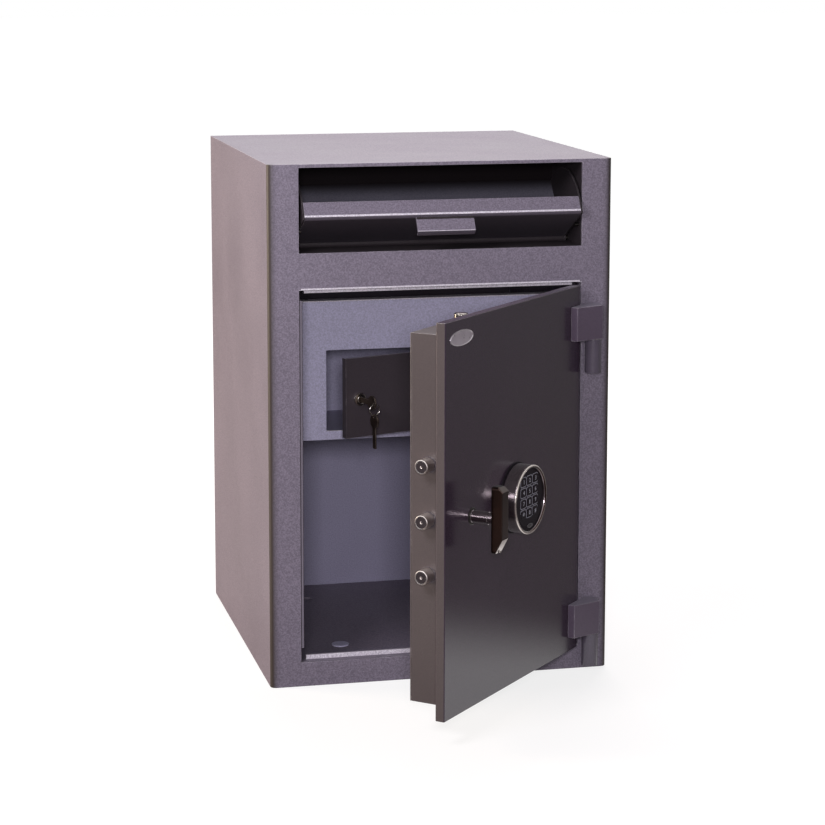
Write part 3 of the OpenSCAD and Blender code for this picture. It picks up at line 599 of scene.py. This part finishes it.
UPRIGHT = Matrix.Identity(4)
FACING_OUT = Matrix.Rotation(radians(90), 4, "X")
FACING_BACK = Matrix.Rotation(radians(-90), 4, "X")
FACING_LEFT = Matrix.Rotation(radians(-90), 4, "Y")
FACING_DOWN = Matrix.Rotation(radians(180), 4, "X")
SWING_DOOR = Matrix.Translation(DOOR_AXIS) @ Matrix.Rotation(DOOR_OPEN, 4, "Z") @ Matrix.Translation(-DOOR_AXIS)
SWING_LEAF = Matrix.Translation(LEAF_AXIS) @ Matrix.Rotation(LEAF_OPEN, 4, "Z") @ Matrix.Translation(-LEAF_AXIS)
DOOR_LEFT = SWING_DOOR.to_3x3() @ Vector((-1, 0, 0))

NEW_MERGE = 0.000001
DISH_RIM = 1.3
TEXT_SIZE = 1.38


def settle(piece, at=(0, 0, 0), turn=UPRIGHT, swing=UPRIGHT):
    """Moves a piece from the bench to its place, and leaves its object at the origin."""
    bpy.context.view_layer.update()
    piece.matrix_world = swing @ Matrix.Translation(Vector(at) * MM) @ turn @ piece.matrix_world
    take_up(piece)
    bpy.ops.object.transform_apply(location=True, rotation=True, scale=True)
    put_down(piece)
    return piece


def on_door(piece, x, z, out=0.0, turn=FACING_OUT):
    """Sets a piece on the front of the open door, or out from it."""
    return settle(piece, (x, DOOR_FACE - out, z), turn, SWING_DOOR)


def turned(outline, sides=64, hollow=False):
    """A turned shape about +Z, drawn ring by ring from (radius, height); a hollow one closes on its first ring."""
    radius, height = outline[0]
    bpy.ops.mesh.primitive_circle_add(
        vertices=sides, radius=radius * MM, location=(0, 0, height * MM), fill_type="NOTHING" if hollow else "NGON")
    piece = bpy.context.object
    bpy.ops.object.transform_apply(location=True)
    bpy.ops.object.mode_set(mode="EDIT")
    bpy.ops.mesh.select_mode(type="VERT")
    bpy.ops.mesh.select_all(action="SELECT")
    for next_radius, next_height in outline[1:] + (outline[:1] if hollow else []):
        bpy.ops.mesh.extrude_region_move(TRANSFORM_OT_translate={"value": (0, 0, (next_height - height) * MM)})
        ratio = next_radius / radius
        bpy.ops.transform.resize(value=(ratio, ratio, 1))
        radius, height = next_radius, next_height
    bpy.ops.mesh.select_all(action="SELECT")
    bpy.ops.mesh.remove_doubles(threshold=NEW_MERGE)
    bpy.ops.mesh.normals_make_consistent(inside=False)
    bpy.ops.object.mode_set(mode="OBJECT")
    put_down(piece)
    return piece


def block(width, height, depth, up=0.0):
    """A block standing on z 0, or raised from it."""
    bpy.ops.mesh.primitive_cube_add(
        size=1, location=(0, 0, (up + depth / 2) * MM), scale=(width * MM, height * MM, depth * MM))
    piece = bpy.context.object
    bpy.ops.object.transform_apply(location=True, rotation=True, scale=True)
    put_down(piece)
    return piece


def rounded_block(width, height, depth, corner, rim, dish=0.0):
    """A block with round corners and a softened front at +Z; a dish sinks the middle of the front."""
    rise = 0.5 * rim
    piece = block(width, height, depth - rise)
    pick(piece, edges=lambda centre, way: abs(way.z) > 0.9)
    bpy.ops.mesh.bevel(offset=corner * MM, segments=4, affect="EDGES")
    close(piece)
    pick(piece, faces=lambda centre, way: way.z > 0.9)
    bpy.ops.mesh.inset(thickness=rim * MM)
    bpy.ops.transform.translate(value=(0, 0, rise * MM))
    if dish:
        bpy.ops.mesh.inset(thickness=DISH_RIM * MM)
        bpy.ops.transform.translate(value=(0, 0, -dish * MM))
    close(piece)
    return piece


def copied(piece, at=(0, 0, 0)):
    """The same shape again, with its own mesh, moved."""
    bpy.context.view_layer.update()
    again = bpy.data.objects.new(piece.name, piece.data.copy())
    scene.collection.objects.link(again)
    again.matrix_world = Matrix.Translation(Vector(at) * MM) @ piece.matrix_world
    return again


def joined(pieces):
    bpy.ops.object.select_all(action="DESELECT")
    for piece in pieces:
        piece.select_set(True)
    bpy.context.view_layer.objects.active = pieces[0]
    bpy.ops.object.join()
    put_down(pieces[0])
    return pieces[0]


def swung_copies(shape, places):
    """The same shape at several places of the open door, as one piece."""
    row = joined([settle(copied(shape), place, swing=SWING_DOOR) for place in places])
    bpy.data.objects.remove(shape)
    return row


def cut(piece, cutter):
    """Cuts a shape out of a piece."""
    bpy.context.view_layer.update()
    take_up(piece)
    saw = piece.modifiers.new("cut", "BOOLEAN")
    saw.operation = "DIFFERENCE"
    saw.solver = "EXACT"
    saw.object = cutter
    bpy.ops.object.modifier_apply(modifier=saw.name)
    put_down(piece)
    bpy.data.objects.remove(cutter)


def figure(sign, height, thickness):
    """A raised numeral or sign, centred, as a mesh."""
    bpy.ops.object.text_add()
    piece = bpy.context.object
    piece.data.body = sign
    piece.data.size = height * MM * TEXT_SIZE
    piece.data.align_x = "CENTER"
    piece.data.align_y = "CENTER"
    piece.data.extrude = thickness / 2 * MM
    piece.data.resolution_u = 4
    bpy.ops.object.convert(target="MESH")
    piece = bpy.context.object
    put_down(piece)
    return piece


# Pieces that keep the shape of their solid, and how far their edges are rounded

EDGE_ROUNDING = {
    "cabinet_shell": 0.8, "back_panel": 0.6, "door_frame": 0.5, "door_stops": 0.8, "hinge_barrels": 0.8,
    "hinge_washers": 0.2, "recess_sides": 0.4, "recess_floor": 0.6, "throat_baffle": 0.5, "deposit_chute": 0.5,
    "locker_panel": 0.6, "locker_box": 0.4, "locker_hinge_brackets": 0.3, "locker_strike": 0.4,
    "floor_plugs": 0.5, "hopper_back": 0.5, "hopper_cheeks": 0.6,
    "door_plate": 0.8, "bolt_box": 0.8, "back_cover": 0.8, "hinge_block_upper": 0.9, "hinge_block_lower": 0.9,
    "locker_door": 0.4,
}

pieces = {node: dressed(node, width) for node, width in EDGE_ROUNDING.items()}


# Coats of the cabinet's and the door's edges: where the painted faces begin and end, in millimetres

FRONT_Y = -253.0
OPENING_SIDE = 195.0
HEADER_FOOT = 549.5
HEADER_STRIP = HEADER_FOOT + 3.0
STOP_BAND = (191.3, 193.7)
STOP_INNER_X = 150.0
TOP_STOP_Z, SILL_STOP_Z = 540.0, 45.0
LOCKER_STRIP = 507.6
BACK_SHADE_Z = 430.0


def door_edges():
    """The free edge of the door plate, in the coat of the box behind it."""
    second_coat(pieces["door_plate"], EDGE_COAT, lambda centre, way: way.dot(DOOR_LEFT) > 0.9)


def header_highlight():
    """A painted highlight along the folded edge over the door opening."""
    shell = pieces["cabinet_shell"]
    for place, across in (((0, 0, HEADER_STRIP), (0, 0, 1)), ((OPENING_SIDE, 0, 0), (1, 0, 0)),
                          ((-OPENING_SIDE, 0, 0), (1, 0, 0))):
        split(shell, place, across, lambda centre, way: way.y < -0.98 and centre.y < FRONT_Y)
    second_coat(shell, FOLD_PAINTED_HIGHLIGHT, lambda centre, way: way.y < -0.3 and centre.y < FRONT_Y
                and abs(centre.x) < OPENING_SIDE and HEADER_FOOT - 1.0 < centre.z < HEADER_STRIP)
    smooth(shell)


def stop_highlights_and_shade():
    """The stop strips: painted highlight above and below, and at the sides their own coat between two lines of
    painted shade.
    """
    stops = pieces["door_stops"]
    inner, outer = STOP_BAND
    second_coat(stops, FOLD_PAINTED_HIGHLIGHT, lambda centre, way: way.y < -0.8
                and (centre.z > TOP_STOP_Z or centre.z < SILL_STOP_Z))
    for x in (-outer, -inner, inner, outer):
        split(stops, (x, 0, 0), (1, 0, 0), lambda centre, way: way.y < -0.8 and abs(centre.x) > STOP_INNER_X)
    second_coat(stops, FOLD_PAINTED_SHADE, lambda centre, way: abs(centre.x) > STOP_INNER_X and way.y < -0.2
                and not inner < abs(centre.x) < outer)
    smooth(stops)


def locker_highlights():
    """A painted highlight along the top edge of the locker's panel and on the sills of its opening."""
    panel = pieces["locker_panel"]
    split(panel, (0, 0, LOCKER_STRIP), (0, 0, 1), lambda centre, way: way.y < -0.98)
    second_coat(panel, FOLD_PAINTED_HIGHLIGHT, lambda centre, way: way.z > 0.3 or way.y < -0.2 and centre.z > LOCKER_STRIP)
    smooth(panel)


def back_wall():
    """The inside of the back wall: a pale inner coat, and painted shade above the locker."""
    back = pieces["back_panel"]
    second_coat(back, INNER_COAT, lambda centre, way: way.y < -0.8)
    split(back, (0, 0, BACK_SHADE_Z), (0, 0, 1), lambda centre, way: way.y < -0.98)
    second_coat(back, FOLD_PAINTED_SHADE, lambda centre, way: way.y < -0.8 and centre.z > BACK_SHADE_Z)
    smooth(back)


def hinge_top_highlights():
    # The blocks' top faces take the lighter stop coat: a painted highlight
    for node in ("hinge_block_upper", "hinge_block_lower"):
        second_coat(pieces[node], STOP_COAT, lambda centre, way: way.z > 0.8)


# Deposit hopper: where the bends and painted faces of its tray and tab lie, in millimetres

LIP_FOOT_Y, LIP_FOOT_Z = -268.0, 648.0
LIP_Y, BEND_Y = -262.0, -258.0
LIP_BEND = 6.0
UNDERSIDE_Z = 647.0
TAB_SHADOW_LINE, TAB_SHADOW_ACROSS, TAB_SHADOW_Z = (0, -271.3, 643.6), (0, 0.56, 0.83), 643.4
TAB_FOOT_Z, TAB_ROLL_Z, TAB_UNDER_Z = 632.0, 631.0, 629.0
TAB_ROLL = Vector((0, 3.0, -4.2)) * MM


def hopper():
    """The folded tray, with a wide bend at the foot of its lip: painted highlight and painted shade on the bend,
    painted shade underneath.
    """
    tray = from_solid("hopper_tray")
    pick(tray, edges=lambda centre, way: abs(way.x) > 0.9 and centre.y < LIP_FOOT_Y and centre.z < LIP_FOOT_Z)
    bpy.ops.mesh.bevel(offset=LIP_BEND * MM, segments=7, affect="EDGES")
    close(tray)
    round_edges(tray, 0.5)
    smooth(tray)
    finish_piece(tray, "hopper_tray_folded", "hopper", "body_paint", "hopper_tray")
    second_coat(tray, UNDERSIDE_PAINTED_SHADE, lambda centre, way: way.z < -0.8 and centre.z < UNDERSIDE_Z)
    second_coat(tray, FOLD_PAINTED_HIGHLIGHT, lambda centre, way: centre.y < LIP_Y and 0.1 < way.z < 0.52 and way.y < -0.8)
    second_coat(tray, FOLD_PAINTED_SHADE, lambda centre, way: centre.y < BEND_Y and -0.8 < way.z < 0.1 and way.y < -0.5)
    # The faces of the hopper's back that do not face up take the recess's painted shade
    second_coat(pieces["hopper_back"], RECESS_PAINTED_SHADE, lambda centre, way: way.z < 0.5)


def tab():
    """The finger tab: a painted shadow line under the lip, and a foot rolled back with painted highlight and painted
    shade.
    """
    piece = from_solid("pull_tab")
    pick(piece, faces=lambda centre, way: way.z < -0.8 and centre.z < TAB_FOOT_Z)
    bpy.ops.mesh.extrude_region_move(TRANSFORM_OT_translate={"value": TAB_ROLL})
    close(piece)
    split(piece, TAB_SHADOW_LINE, TAB_SHADOW_ACROSS, lambda centre, way: way.y < -0.5)
    round_edges(piece, 0.7, 3)
    smooth(piece)
    finish_piece(piece, "pull_tab_folded", "hopper", "body_paint", "pull_tab")
    # Painted shadow of the lip along the tab's top
    second_coat(piece, RECESS_PAINTED_SHADE, lambda centre, way: centre.z > TAB_SHADOW_Z and way.y < -0.5)
    second_coat(piece, FOLD_PAINTED_HIGHLIGHT, lambda centre, way: centre.z < TAB_ROLL_Z and -0.35 < way.z < 0.45
                and way.y < -0.5)
    second_coat(piece, FOLD_PAINTED_SHADE, lambda centre, way: centre.z < TAB_UNDER_Z and way.z < -0.35)


# Keypad

FACE_FRONT = 20.5
KEY_W, KEY_H, KEY_T, KEY_OUT = 13.0, 10.0, 4.5, 1.2
KEY_PITCH_X, KEY_PITCH_Z, KEY_RISE = 17.0, 14.5, 4.0
LINE_W, GAP_W, LINE_T, LINE_SUNK = 3.4, 1.6, 0.35, 0.15
FIGURE_HEIGHT, FIGURE_T, FIGURE_SUNK = 5.6, 0.3, 0.18
STAR_HEIGHT, STAR_DROP = 9.0, 1.6
OVAL_SQUASH, OVAL_DROP, OVAL_OUT = 0.38, 35.0, 0.9
SIGNS = {"key_1": "1", "key_2": "2", "key_3": "3", "key_4": "4", "key_5": "5", "key_6": "6", "key_7": "7",
         "key_8": "8", "key_9": "9", "key_star": "*", "key_0": "0", "key_hash": "#"}


def on_keypad(piece, across=0.0, up=0.0, out=0.0):
    return on_door(piece, KEYPAD_X + across, WORKS_Z + up, out)


def key_places():
    """Each key's node, its sign, and where it sits across and up from the middle of the keypad."""
    for place, (node, sign) in enumerate(SIGNS.items()):
        column, row = place % 3, place // 3
        yield node, sign, (column - 1) * KEY_PITCH_X, (1.5 - row) * KEY_PITCH_Z + KEY_RISE


def keypad_ring(outline, name, slot, *replaced, coat=None):
    ring = on_keypad(turned(outline, 128, hollow=True))
    smooth(ring, 40)
    finish_piece(ring, name, "door", slot, *replaced, coat=coat)


def keypad_drum():
    """The drum, the chamfer inside its front edge in chrome painted dark, a black ring at its foot as painted
    shadow, and its rim.
    """
    keypad_ring([(38, 4), (46, 4), (46, 21.2), (45.7, 22.5), (44.9, 23.5), (43.6, 24), (42.4, 23.7), (41.5, 22.8),
                 (41.1, 21.4), (41, 14), (38, 14)], "keypad_drum", "chrome", "keypad_housing", coat=DRUM_CHROME_PAINTED_REFLECTION)
    # The chamfer ring is chrome painted dark: painted dark reflection
    keypad_ring([(41.1, 21.3), (41.6, 22.9), (42.5, 23.85), (43.7, 24.15), (43.9, 23.6), (43.0, 22.9), (41.6, 20.9)],
                "keypad_chamfer", "chrome", coat=CHROME_PAINTED_DARK)
    # A black ring at the drum's foot and over its lower edge: painted contact shadow
    keypad_ring([(38, 0), (47.6, 0), (47.6, 0.5), (47.2, 0.9), (45.3, 0.9), (45.3, 4.1), (38, 4.1)],
                "keypad_foot_painted_shadow", "keypad_plastic")
    keypad_ring([(43.9, 22.6), (45.8, 22.0), (46.0, 22.5), (45.9, 23.1), (45.5, 23.6), (44.8, 23.9), (44.1, 23.9)],
                "keypad_rim", "chrome", coat=KEYPAD_RIM)


def keypad_panel():
    """The black face with its wells and crescent, a fine light line round each well, and the blank oval."""
    dressed("keypad_face", 0.25)
    line = rounded_block(KEY_W + LINE_W, KEY_H + LINE_W, LINE_T, 3.2, 0.1)
    hole = rounded_block(KEY_W + GAP_W, KEY_H + GAP_W, 2.0, 2.6, 0.1)
    hole.location.z = -0.5 * MM
    cut(line, hole)
    lines = [copied(line, (across, up, 0)) for node, sign, across, up in key_places()]
    bpy.data.objects.remove(line)
    frames = on_keypad(joined(lines), out=FACE_FRONT - LINE_SUNK)
    finish_piece(frames, "keypad_lines", "door", "keypad_plastic", coat=FAINT_PRINT)
    oval = turned([(7.6, 0), (7.6, 0.5), (7.2, 0.9), (6.6, 0.9), (6.3, 0.6)], 48)
    oval.scale.y = OVAL_SQUASH
    on_keypad(oval, up=-OVAL_DROP, out=FACE_FRONT + OVAL_OUT)
    smooth(oval)
    finish_piece(oval, "keypad_blank_oval", "door", "chrome", coat=DIM_NICKEL)


def keys():
    """The twelve keys, each with its figure."""
    body = rounded_block(KEY_W, KEY_H, KEY_T, 2.0, 0.5, dish=0.25)
    front = FACE_FRONT + KEY_OUT
    for node, sign, across, up in key_places():
        key = on_keypad(copied(body), across, up, front - KEY_T)
        smooth(key)
        finish_piece(key, node + "_cap", body_of_node[node], "keypad_plastic", node)
        star = sign == "*"
        number = figure(sign, STAR_HEIGHT if star else FIGURE_HEIGHT, FIGURE_T)
        on_keypad(number, across, up - (STAR_DROP if star else 0.0), front - FIGURE_SUNK)
        finish_piece(number, node + "_figure", body_of_node[node], "keypad_plastic", coat=PRINT)
    bpy.data.objects.remove(body)


# Handle

BAR_FOOT_WAY = SWING_DOOR.to_3x3() @ Vector((0, -0.88, -0.47)).normalized()
SET_SCREW_DROP, SET_SCREW_OUT = 41.9, 39.0


def handle():
    bar = from_solid("handle_bar")
    round_edges(bar, 1.1, 4)
    smooth(bar)
    finish_piece(bar, "handle_grip", "handle", "chrome", "handle_bar", coat=CHROME_PAINTED_DARK)
    # The bar's lower chamfer takes the bright rim chrome: a painted highlight
    second_coat(bar, RIM_CHROME, lambda centre, way: way.dot(BAR_FOOT_WAY) > 0.985)
    post = turned([(5, -26), (5, -13), (8.25, -13), (8.25, 1.2), (7.9, 1.6), (7.9, 2.4), (8.25, 2.8), (8.25, 24),
                   (7.7, 24.6), (7.7, 25.4), (8.25, 26), (8.25, 31.5)])
    on_door(post, HANDLE_X, WORKS_Z)
    smooth(post)
    finish_piece(post, "handle_post", "handle", "chrome", "handle_spindle", coat=DRUM_CHROME_PAINTED_REFLECTION)
    bush = turned([(8.3, -13), (8.3, 0), (8.8, 0.9), (10.4, 0.9), (11.25, 0.1), (11.25, -13)], hollow=True)
    on_door(bush, HANDLE_X, WORKS_Z)
    smooth(bush)
    finish_piece(bush, "spindle_bush_ring", "door", "plain_steel", "spindle_bush", coat=BLACKENED)
    screw = turned([(2.6, 0), (2.6, 0.4), (2.2, 0.7), (1.25, 0.7), (1.2, -0.8)], 32)
    on_door(screw, HANDLE_X, WORKS_Z - SET_SCREW_DROP, SET_SCREW_OUT, FACING_DOWN)
    smooth(screw)
    finish_piece(screw, "handle_set_screw", "handle", "chrome", coat=CHROME_PAINTED_DARK)


# Badge

BADGE_X, BADGE_Z = -152.5, 524.0
BADGE_HALF_WIDTH, BADGE_HALF_HEIGHT = 30.5, 10.0


def badge():
    plate = turned([(BADGE_HALF_WIDTH, 0), (BADGE_HALF_WIDTH, 0.7), (30.1, 1.2), (28.6, 1.2), (28.0, 0.8),
                    (26.0, 0.8)], 96)
    plate.scale.y = BADGE_HALF_HEIGHT / BADGE_HALF_WIDTH
    on_door(plate, BADGE_X, BADGE_Z)
    smooth(plate)
    finish_piece(plate, "badge_oval", "door", "chrome", "door_badge", coat=SATIN_NICKEL)


# Bolts, seen where they stand out of the bolt box

BOLT_Y = DOOR_FACE + PLATE_THICKNESS + 26.0
BOX_SIDE_X = -166.5
BOLT_PITCH = 71.5
BOLT_REACH = 19.5
BOLT_PLACES = [(BOX_SIDE_X, BOLT_Y, WORKS_Z + i * BOLT_PITCH) for i in (-1, 0, 1)]


def bolts():
    """The side bolts with ends in painted shade and a guide ring each, and the top and bottom bolts."""
    bolt = turned([(9.5, -27), (9.5, BOLT_REACH - 1.6), (9.2, BOLT_REACH - 0.7), (8.5, BOLT_REACH),
                   (7.9, BOLT_REACH), (7.7, BOLT_REACH - 0.25), (1.6, BOLT_REACH - 0.25), (0.9, BOLT_REACH - 1.2)])
    rods = swung_copies(settle(bolt, turn=FACING_LEFT), BOLT_PLACES)
    smooth(rods, 25)
    finish_piece(rods, "side_bolt_rods", "side_boltwork", "chrome", "side_bolts", coat=RIM_CHROME)
    # The bolts' flat ends take the recess's painted shade: painted darkness on their chrome
    second_coat(rods, RECESS_PAINTED_SHADE, lambda centre, way: way.dot(DOOR_LEFT) > 0.98)
    dressed("top_bolt", 0.4)
    dressed("bottom_bolt", 0.4)
    collar = turned([(9.6, 0), (11.1, 0), (11.1, 0.5), (10.9, 0.8), (9.9, 0.8), (9.6, 0.5)], hollow=True)
    rings = swung_copies(settle(collar, turn=FACING_LEFT), BOLT_PLACES)
    smooth(rings)
    finish_piece(rings, "bolt_guide_rings", "door", "keypad_plastic", coat=LEAF_COAT)


# Locker lock and keys

LOCK_PLACE = (-103.2, -80.0, 376.816)


def locker_lock():
    ring = turned([(5.55, -10), (5.55, 3.6), (6.1, 4.0), (7.9, 4.0), (8.9, 3.6), (9.5, 2.6), (9.5, 0), (8.0, 0),
                   (8.0, -10)], hollow=True)
    settle(ring, LOCK_PLACE, FACING_OUT, SWING_LEAF)
    smooth(ring)
    finish_piece(ring, "lock_barrel_ring", "locker_leaf", "chrome", "lock_barrel", coat=LOCK_CHROME)
    core = turned([(5.5, -11.2), (5.5, 4.2), (5.1, 4.6)], 48)
    cut(core, block(1.0, 7.0, 2.0, up=3.4))
    settle(core, LOCK_PLACE, FACING_OUT, SWING_LEAF)
    smooth(core)
    finish_piece(core, "lock_core_plug", "locker_lock", "chrome", "lock_core")


def key_shapes():
    dressed("locker_key", 0.35)
    dressed("spare_key", 0.35)
    ring = from_solid("key_ring")
    smooth(ring, 60)
    finish_piece(ring, "key_ring_wire", "hanging_keys", "chrome", "key_ring")


# Small fasteners

SCREW_RADIUS, SCREW_HEAD = 3.6, 1.6
COVER_BACK_Y = DOOR_FACE + PLATE_THICKNESS + 52.5
COVER_SIDE_X = 157.5
COVER_ROWS = (56.5, 172.0, 287.5, 403.0, 518.5)
BARREL_FEET = (7.5, 425.0)
WELD_ASIDE, WELD_Y = 8.6, -255.6
WELD_FOOT, WELD_TOP = 5, 42
WELD_RADIUS, WELD_PASS, WELD_DIP = 1.4, 1.1, 0.78


def cross_screw(radius, head):
    """A pan head screw with a cross recess."""
    screw = turned([(radius, 0), (radius, 0.35 * head), (0.88 * radius, 0.75 * head), (0.62 * radius, 0.95 * head),
                    (0.3 * radius, head)], 32)
    for turn in (0, 90):
        arm = block(1.15 * radius, 0.26 * radius, head, up=0.45 * head)
        arm.rotation_euler.z = radians(turn)
        take_up(arm)
        bpy.ops.object.transform_apply(rotation=True)
        put_down(arm)
        cut(screw, arm)
    return screw


def cover_screws():
    """Twelve screws round the cover at the back of the bolt box."""
    places = [(x, COVER_BACK_Y, z) for x in (-COVER_SIDE_X, COVER_SIDE_X) for z in COVER_ROWS]
    places += [(0, COVER_BACK_Y, z) for z in (COVER_ROWS[0], COVER_ROWS[-1])]
    screws = swung_copies(settle(cross_screw(SCREW_RADIUS, SCREW_HEAD), turn=FACING_BACK), places)
    smooth(screws)
    finish_piece(screws, "cover_screws", "door", "plain_steel")


def weld_bead(first, last):
    """A run of weld: a tube along a seam, rippled by its passes."""
    curve = bpy.data.curves.new("barrel_weld", "CURVE")
    curve.dimensions = "3D"
    curve.bevel_depth = WELD_RADIUS * MM
    curve.bevel_resolution = 2
    curve.use_fill_caps = True
    first, last = Vector(first), Vector(last)
    count = round((last - first).length / WELD_PASS)
    spline = curve.splines.new("POLY")
    spline.points.add(count)
    for index, point in enumerate(spline.points):
        point.co = (*(first.lerp(last, index / count) * MM), 1)
        point.radius = 1.0 if index % 2 else WELD_DIP
    bead = bpy.data.objects.new("barrel_weld", curve)
    scene.collection.objects.link(bead)
    take_up(bead)
    bpy.ops.object.convert(target="MESH")
    bead = bpy.context.object
    put_down(bead)
    return bead


def welds():
    """Runs of weld where the hinge barrels meet the cabinet front."""
    beads = joined([weld_bead((HINGE_X + side, WELD_Y, foot + WELD_FOOT), (HINGE_X + side, WELD_Y, foot + WELD_TOP))
                    for foot in BARREL_FEET for side in (-WELD_ASIDE, WELD_ASIDE)])
    smooth(beads, 60)
    finish_piece(beads, "barrel_welds", "cabinet", "body_paint")


door_edges()
header_highlight()
stop_highlights_and_shade()
locker_highlights()
back_wall()
hinge_top_highlights()
hopper()
tab()
keypad_drum()
keypad_panel()
keys()
handle()
badge()
bolts()
locker_lock()
key_shapes()
cover_screws()
welds()

# Solids that show as they are take their finish here
for node, piece in nodes.items():
    if not piece.hide_render:
        piece.data.materials.clear()
        piece.data.materials.append(COAT_OF_NODE.get(node, FINISH[slot_of_node[node]]))
